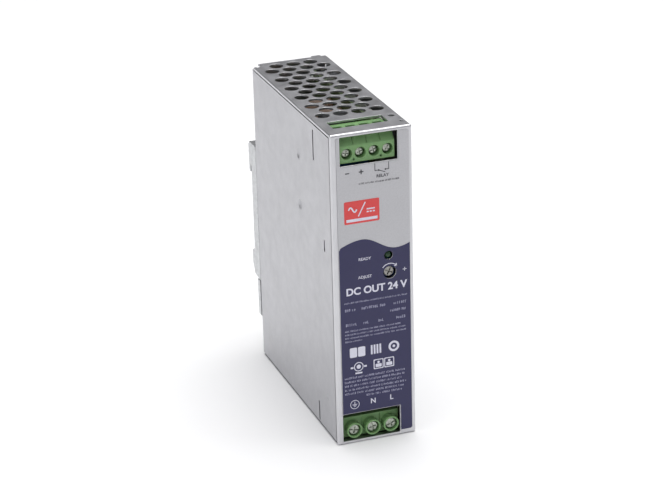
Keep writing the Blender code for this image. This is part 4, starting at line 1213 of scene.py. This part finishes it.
# ---- electronics --------------------------------------------------------------------------
def make_can(node, direction):
    """Electrolytic can: sleeve with a rolled groove, bare scored top and rubber end."""
    can = Box(node)
    axis = max(range(3), key=lambda k: abs(direction[k]))
    spans = (can.x, can.y, can.z)
    length = (spans[axis][1] - spans[axis][0]) / MM
    radius = (spans[axis - 1][1] - spans[axis - 1][0]) / 2 / MM
    start = list(can.centre)
    start[axis] = spans[axis][0] if direction[axis] > 0 else spans[axis][1]
    profile = [(0.0, length - 0.25), (radius * 0.82, length - 0.25), (radius * 0.86, length - 0.05)]
    profile += arc((radius - 0.6, length - 0.6), 0.6, 80, 0)
    profile += [(radius, 3.4)] + arc((radius + 0.35, 2.5), 0.9, 112, 248, 6)
    profile += [(radius, 1.6), (radius, 0.6)] + arc((radius - 0.5, 0.5), 0.5, 0, -80)
    profile += [(radius * 0.7, 0.05), (radius * 0.68, 0.3), (0.0, 0.3)]
    piece = turned(node + "_can", profile, start, direction, 48)
    top = start[axis] + direction[axis] * length * MM
    reach = radius * 0.55 * MM
    for other in range(3):
        if other == axis:
            continue
        ranges = [(can.centre[k] - 0.09 * MM, can.centre[k] + 0.09 * MM) for k in range(3)]
        ranges[other] = (can.centre[other] - reach, can.centre[other] + reach)
        ranges[axis] = (top - 0.4 * MM, top + 0.4 * MM)
        cut_block(piece, *ranges)
    show(piece, node, "capacitor_sleeve")


def make_electronics():
    refine("transformer_core", 0.5, "ferrite")
    refine("transformer_bobbin", 0.15, "black_resin")
    refine("transformer_winding", 0.5, "yellow_tape")
    refine("line_choke_core", 0.5, "ferrite")
    for number in (1, 2):
        refine(f"line_choke_coil_{number}", 0.4, "winding_copper")
        make_can(f"bulk_capacitor_{number}", (0, 0, 1))
        make_can(f"output_capacitor_{number}", (-1, 0, 0))
        refine(f"board_screw_{number}", 0.15, "screw_steel")
    refine("output_inductor", 0.5, "black_resin")
    refine("line_capacitor", 0.4, "yellow_tape")
    refine("bridge_rectifier", 0.2, "black_resin")
    refine("primary_heatsink", 0.15, "heatsink_aluminium")
    refine("secondary_heatsink", 0.15, "heatsink_aluminium")
    refine("switching_transistor", 0.2, "black_resin")
    refine("output_rectifier", 0.2, "black_resin")
    refine("alarm_relay", 0.3, "blue_plastic")
    make_fuse()
    for place in ("main", "output_terminal", "input_terminal"):
        refine(f"{place}_board", 0.08, "circuit_board")
    refine("insulation_sheet", 0.05, "insulating_film")
    for kind in (OUTPUT, INPUT):
        for number in kind.numbers:
            refine(f"{kind.prefix}_clamp_{number}", 0.15, "screw_steel")
            refine(f"{kind.prefix}_contact_{number}", 0.12, "contact_copper")


def make_fuse():
    """A ceramic body between two caps."""
    fuse = Box("fuse")
    length, cap = (fuse.z[1] - fuse.z[0]) / MM, 2.6
    profile = [(0.0, length)] + arc((cap - 0.4, length - 0.4), 0.4, 90, 0) + [(cap, length - 4.6)]
    profile += [(cap - 0.2, length - 4.7), (cap - 0.2, 4.7), (cap, 4.6)]
    profile += arc((cap - 0.4, 0.4), 0.4, 0, -90) + [(0.0, 0.0)]
    middle = (fuse.centre.x, fuse.centre.y, fuse.z[0])
    show(turned("fuse_body", profile, middle, (0, 0, 1)), "fuse", "ceramic")


# ---- studio -------------------------------------------------------------------------------
def make_floor():
    bm = bmesh.new()
    half = 4.0
    slab(bm, "Z", rounded((-half, half), (-half, half), 0.5), -TOP - 10 * MM, -TOP - 0.02 * MM)
    floor = made_from(bm, "studio_floor")
    paint = Paint("studio_floor", (0.93, 0.93, 0.93), 0.7)
    paint.colours(paint.shade(paint.noise(60.0, 2.0), 0.99, 1.01))
    floor.data.materials.append(paint.material)


def aim(lamp, place, target):
    lamp.location = place
    lamp.rotation_euler = (Vector(target) - Vector(place)).to_track_quat("-Z", "Y").to_euler()


def make_lights():
    middle = (0.0, (FRONT + REAR) / 2, 0.0)
    for name, place, size, watts in LAMPS:
        data = bpy.data.lights.new(name, "AREA")
        data.shape, data.size, data.energy = "SQUARE", size, watts
        lamp = placed(name, data)
        lamp.visible_camera = False
        aim(lamp, place, middle)
    world = bpy.data.worlds.new("studio")
    bpy.context.scene.world = world
    world.use_nodes = True
    tree = world.node_tree
    direction = tree.nodes.new("ShaderNodeTexCoord").outputs["Generated"]
    ramp = tree.nodes.new("ShaderNodeValToRGB")
    facing = tree.nodes.new("ShaderNodeVectorMath")
    facing.operation = "DOT_PRODUCT"
    facing.inputs[1].default_value = BRIGHT_WAY
    tree.links.new(direction, facing.inputs[0])
    moved = tree.nodes.new("ShaderNodeMapRange")
    for socket, value in (("From Min", -1.0), ("From Max", 1.0)):
        moved.inputs[socket].default_value = value
    tree.links.new(facing.outputs["Value"], moved.inputs["Value"])
    tree.links.new(moved.outputs["Result"], ramp.inputs["Fac"])
    for point, (place, grey) in zip(ramp.color_ramp.elements, SKY):
        point.position, point.color = place, (grey, grey, grey * 1.03, 1.0)
    tree.links.new(ramp.outputs["Color"], tree.nodes["Background"].inputs["Color"])


SKY = ((0.25, 0.20), (0.95, 0.58))      # places and greys: away from the bright side, and at it
BRIGHT_WAY = Vector((-0.45, -0.85, 0.25)).normalized()
LAMPS = [
    ("top", (0.15, 0.10, 1.22), 1.3, 17.4),
    ("key", (0.95, -0.60, 0.70), 0.40, 1.2),
    ("left", (-0.90, -0.30, 0.35), 0.8, 2.0),
    ("glint", (-0.52, 0.95, 0.08), 0.5, 1.0),
]


def make_camera():
    """The camera stands front left and above, far off, and is rolled a little."""
    target = Vector((1.52, -49.0, -3.32)) * MM
    azimuth, elevation, roll = (math.radians(angle) for angle in (-19.23, 22.23, -1.57))
    distance = 901.5 * MM
    back = Vector((math.sin(azimuth) * math.cos(elevation),
                   -math.cos(azimuth) * math.cos(elevation), math.sin(elevation)))
    level = (-back).cross(Vector((0.0, 0.0, 1.0))).normalized()
    upright = level.cross(-back)
    right = math.cos(roll) * level + math.sin(roll) * upright
    up = math.cos(roll) * upright - math.sin(roll) * level
    data = bpy.data.cameras.new("camera")
    data.lens, data.sensor_width, data.sensor_fit = 124.09, 36.0, "HORIZONTAL"
    data.clip_start, data.clip_end = 0.05, 20.0
    camera = placed("camera", data)
    turn = Matrix((right, up, back)).transposed().to_4x4()
    camera.matrix_world = Matrix.Translation(target + back * distance) @ turn
    bpy.context.scene.camera = camera


# ---- assembly -----------------------------------------------------------------------------
def main():
    make_camera()
    make_floor()
    make_lights()
    bpy.context.scene.view_settings.view_transform = "Standard"
    make_chassis()
    make_cover()
    make_label()
    print_silver_zone()
    print_badge()
    print_navy_zone()
    make_upper_block()
    make_lower_block()
    make_terminal_screws(OUTPUT, 0.4)
    make_terminal_screws(INPUT, 0.5)
    make_indicator()
    make_trimmer()
    make_bracket()
    make_spring()
    make_electronics()


main()
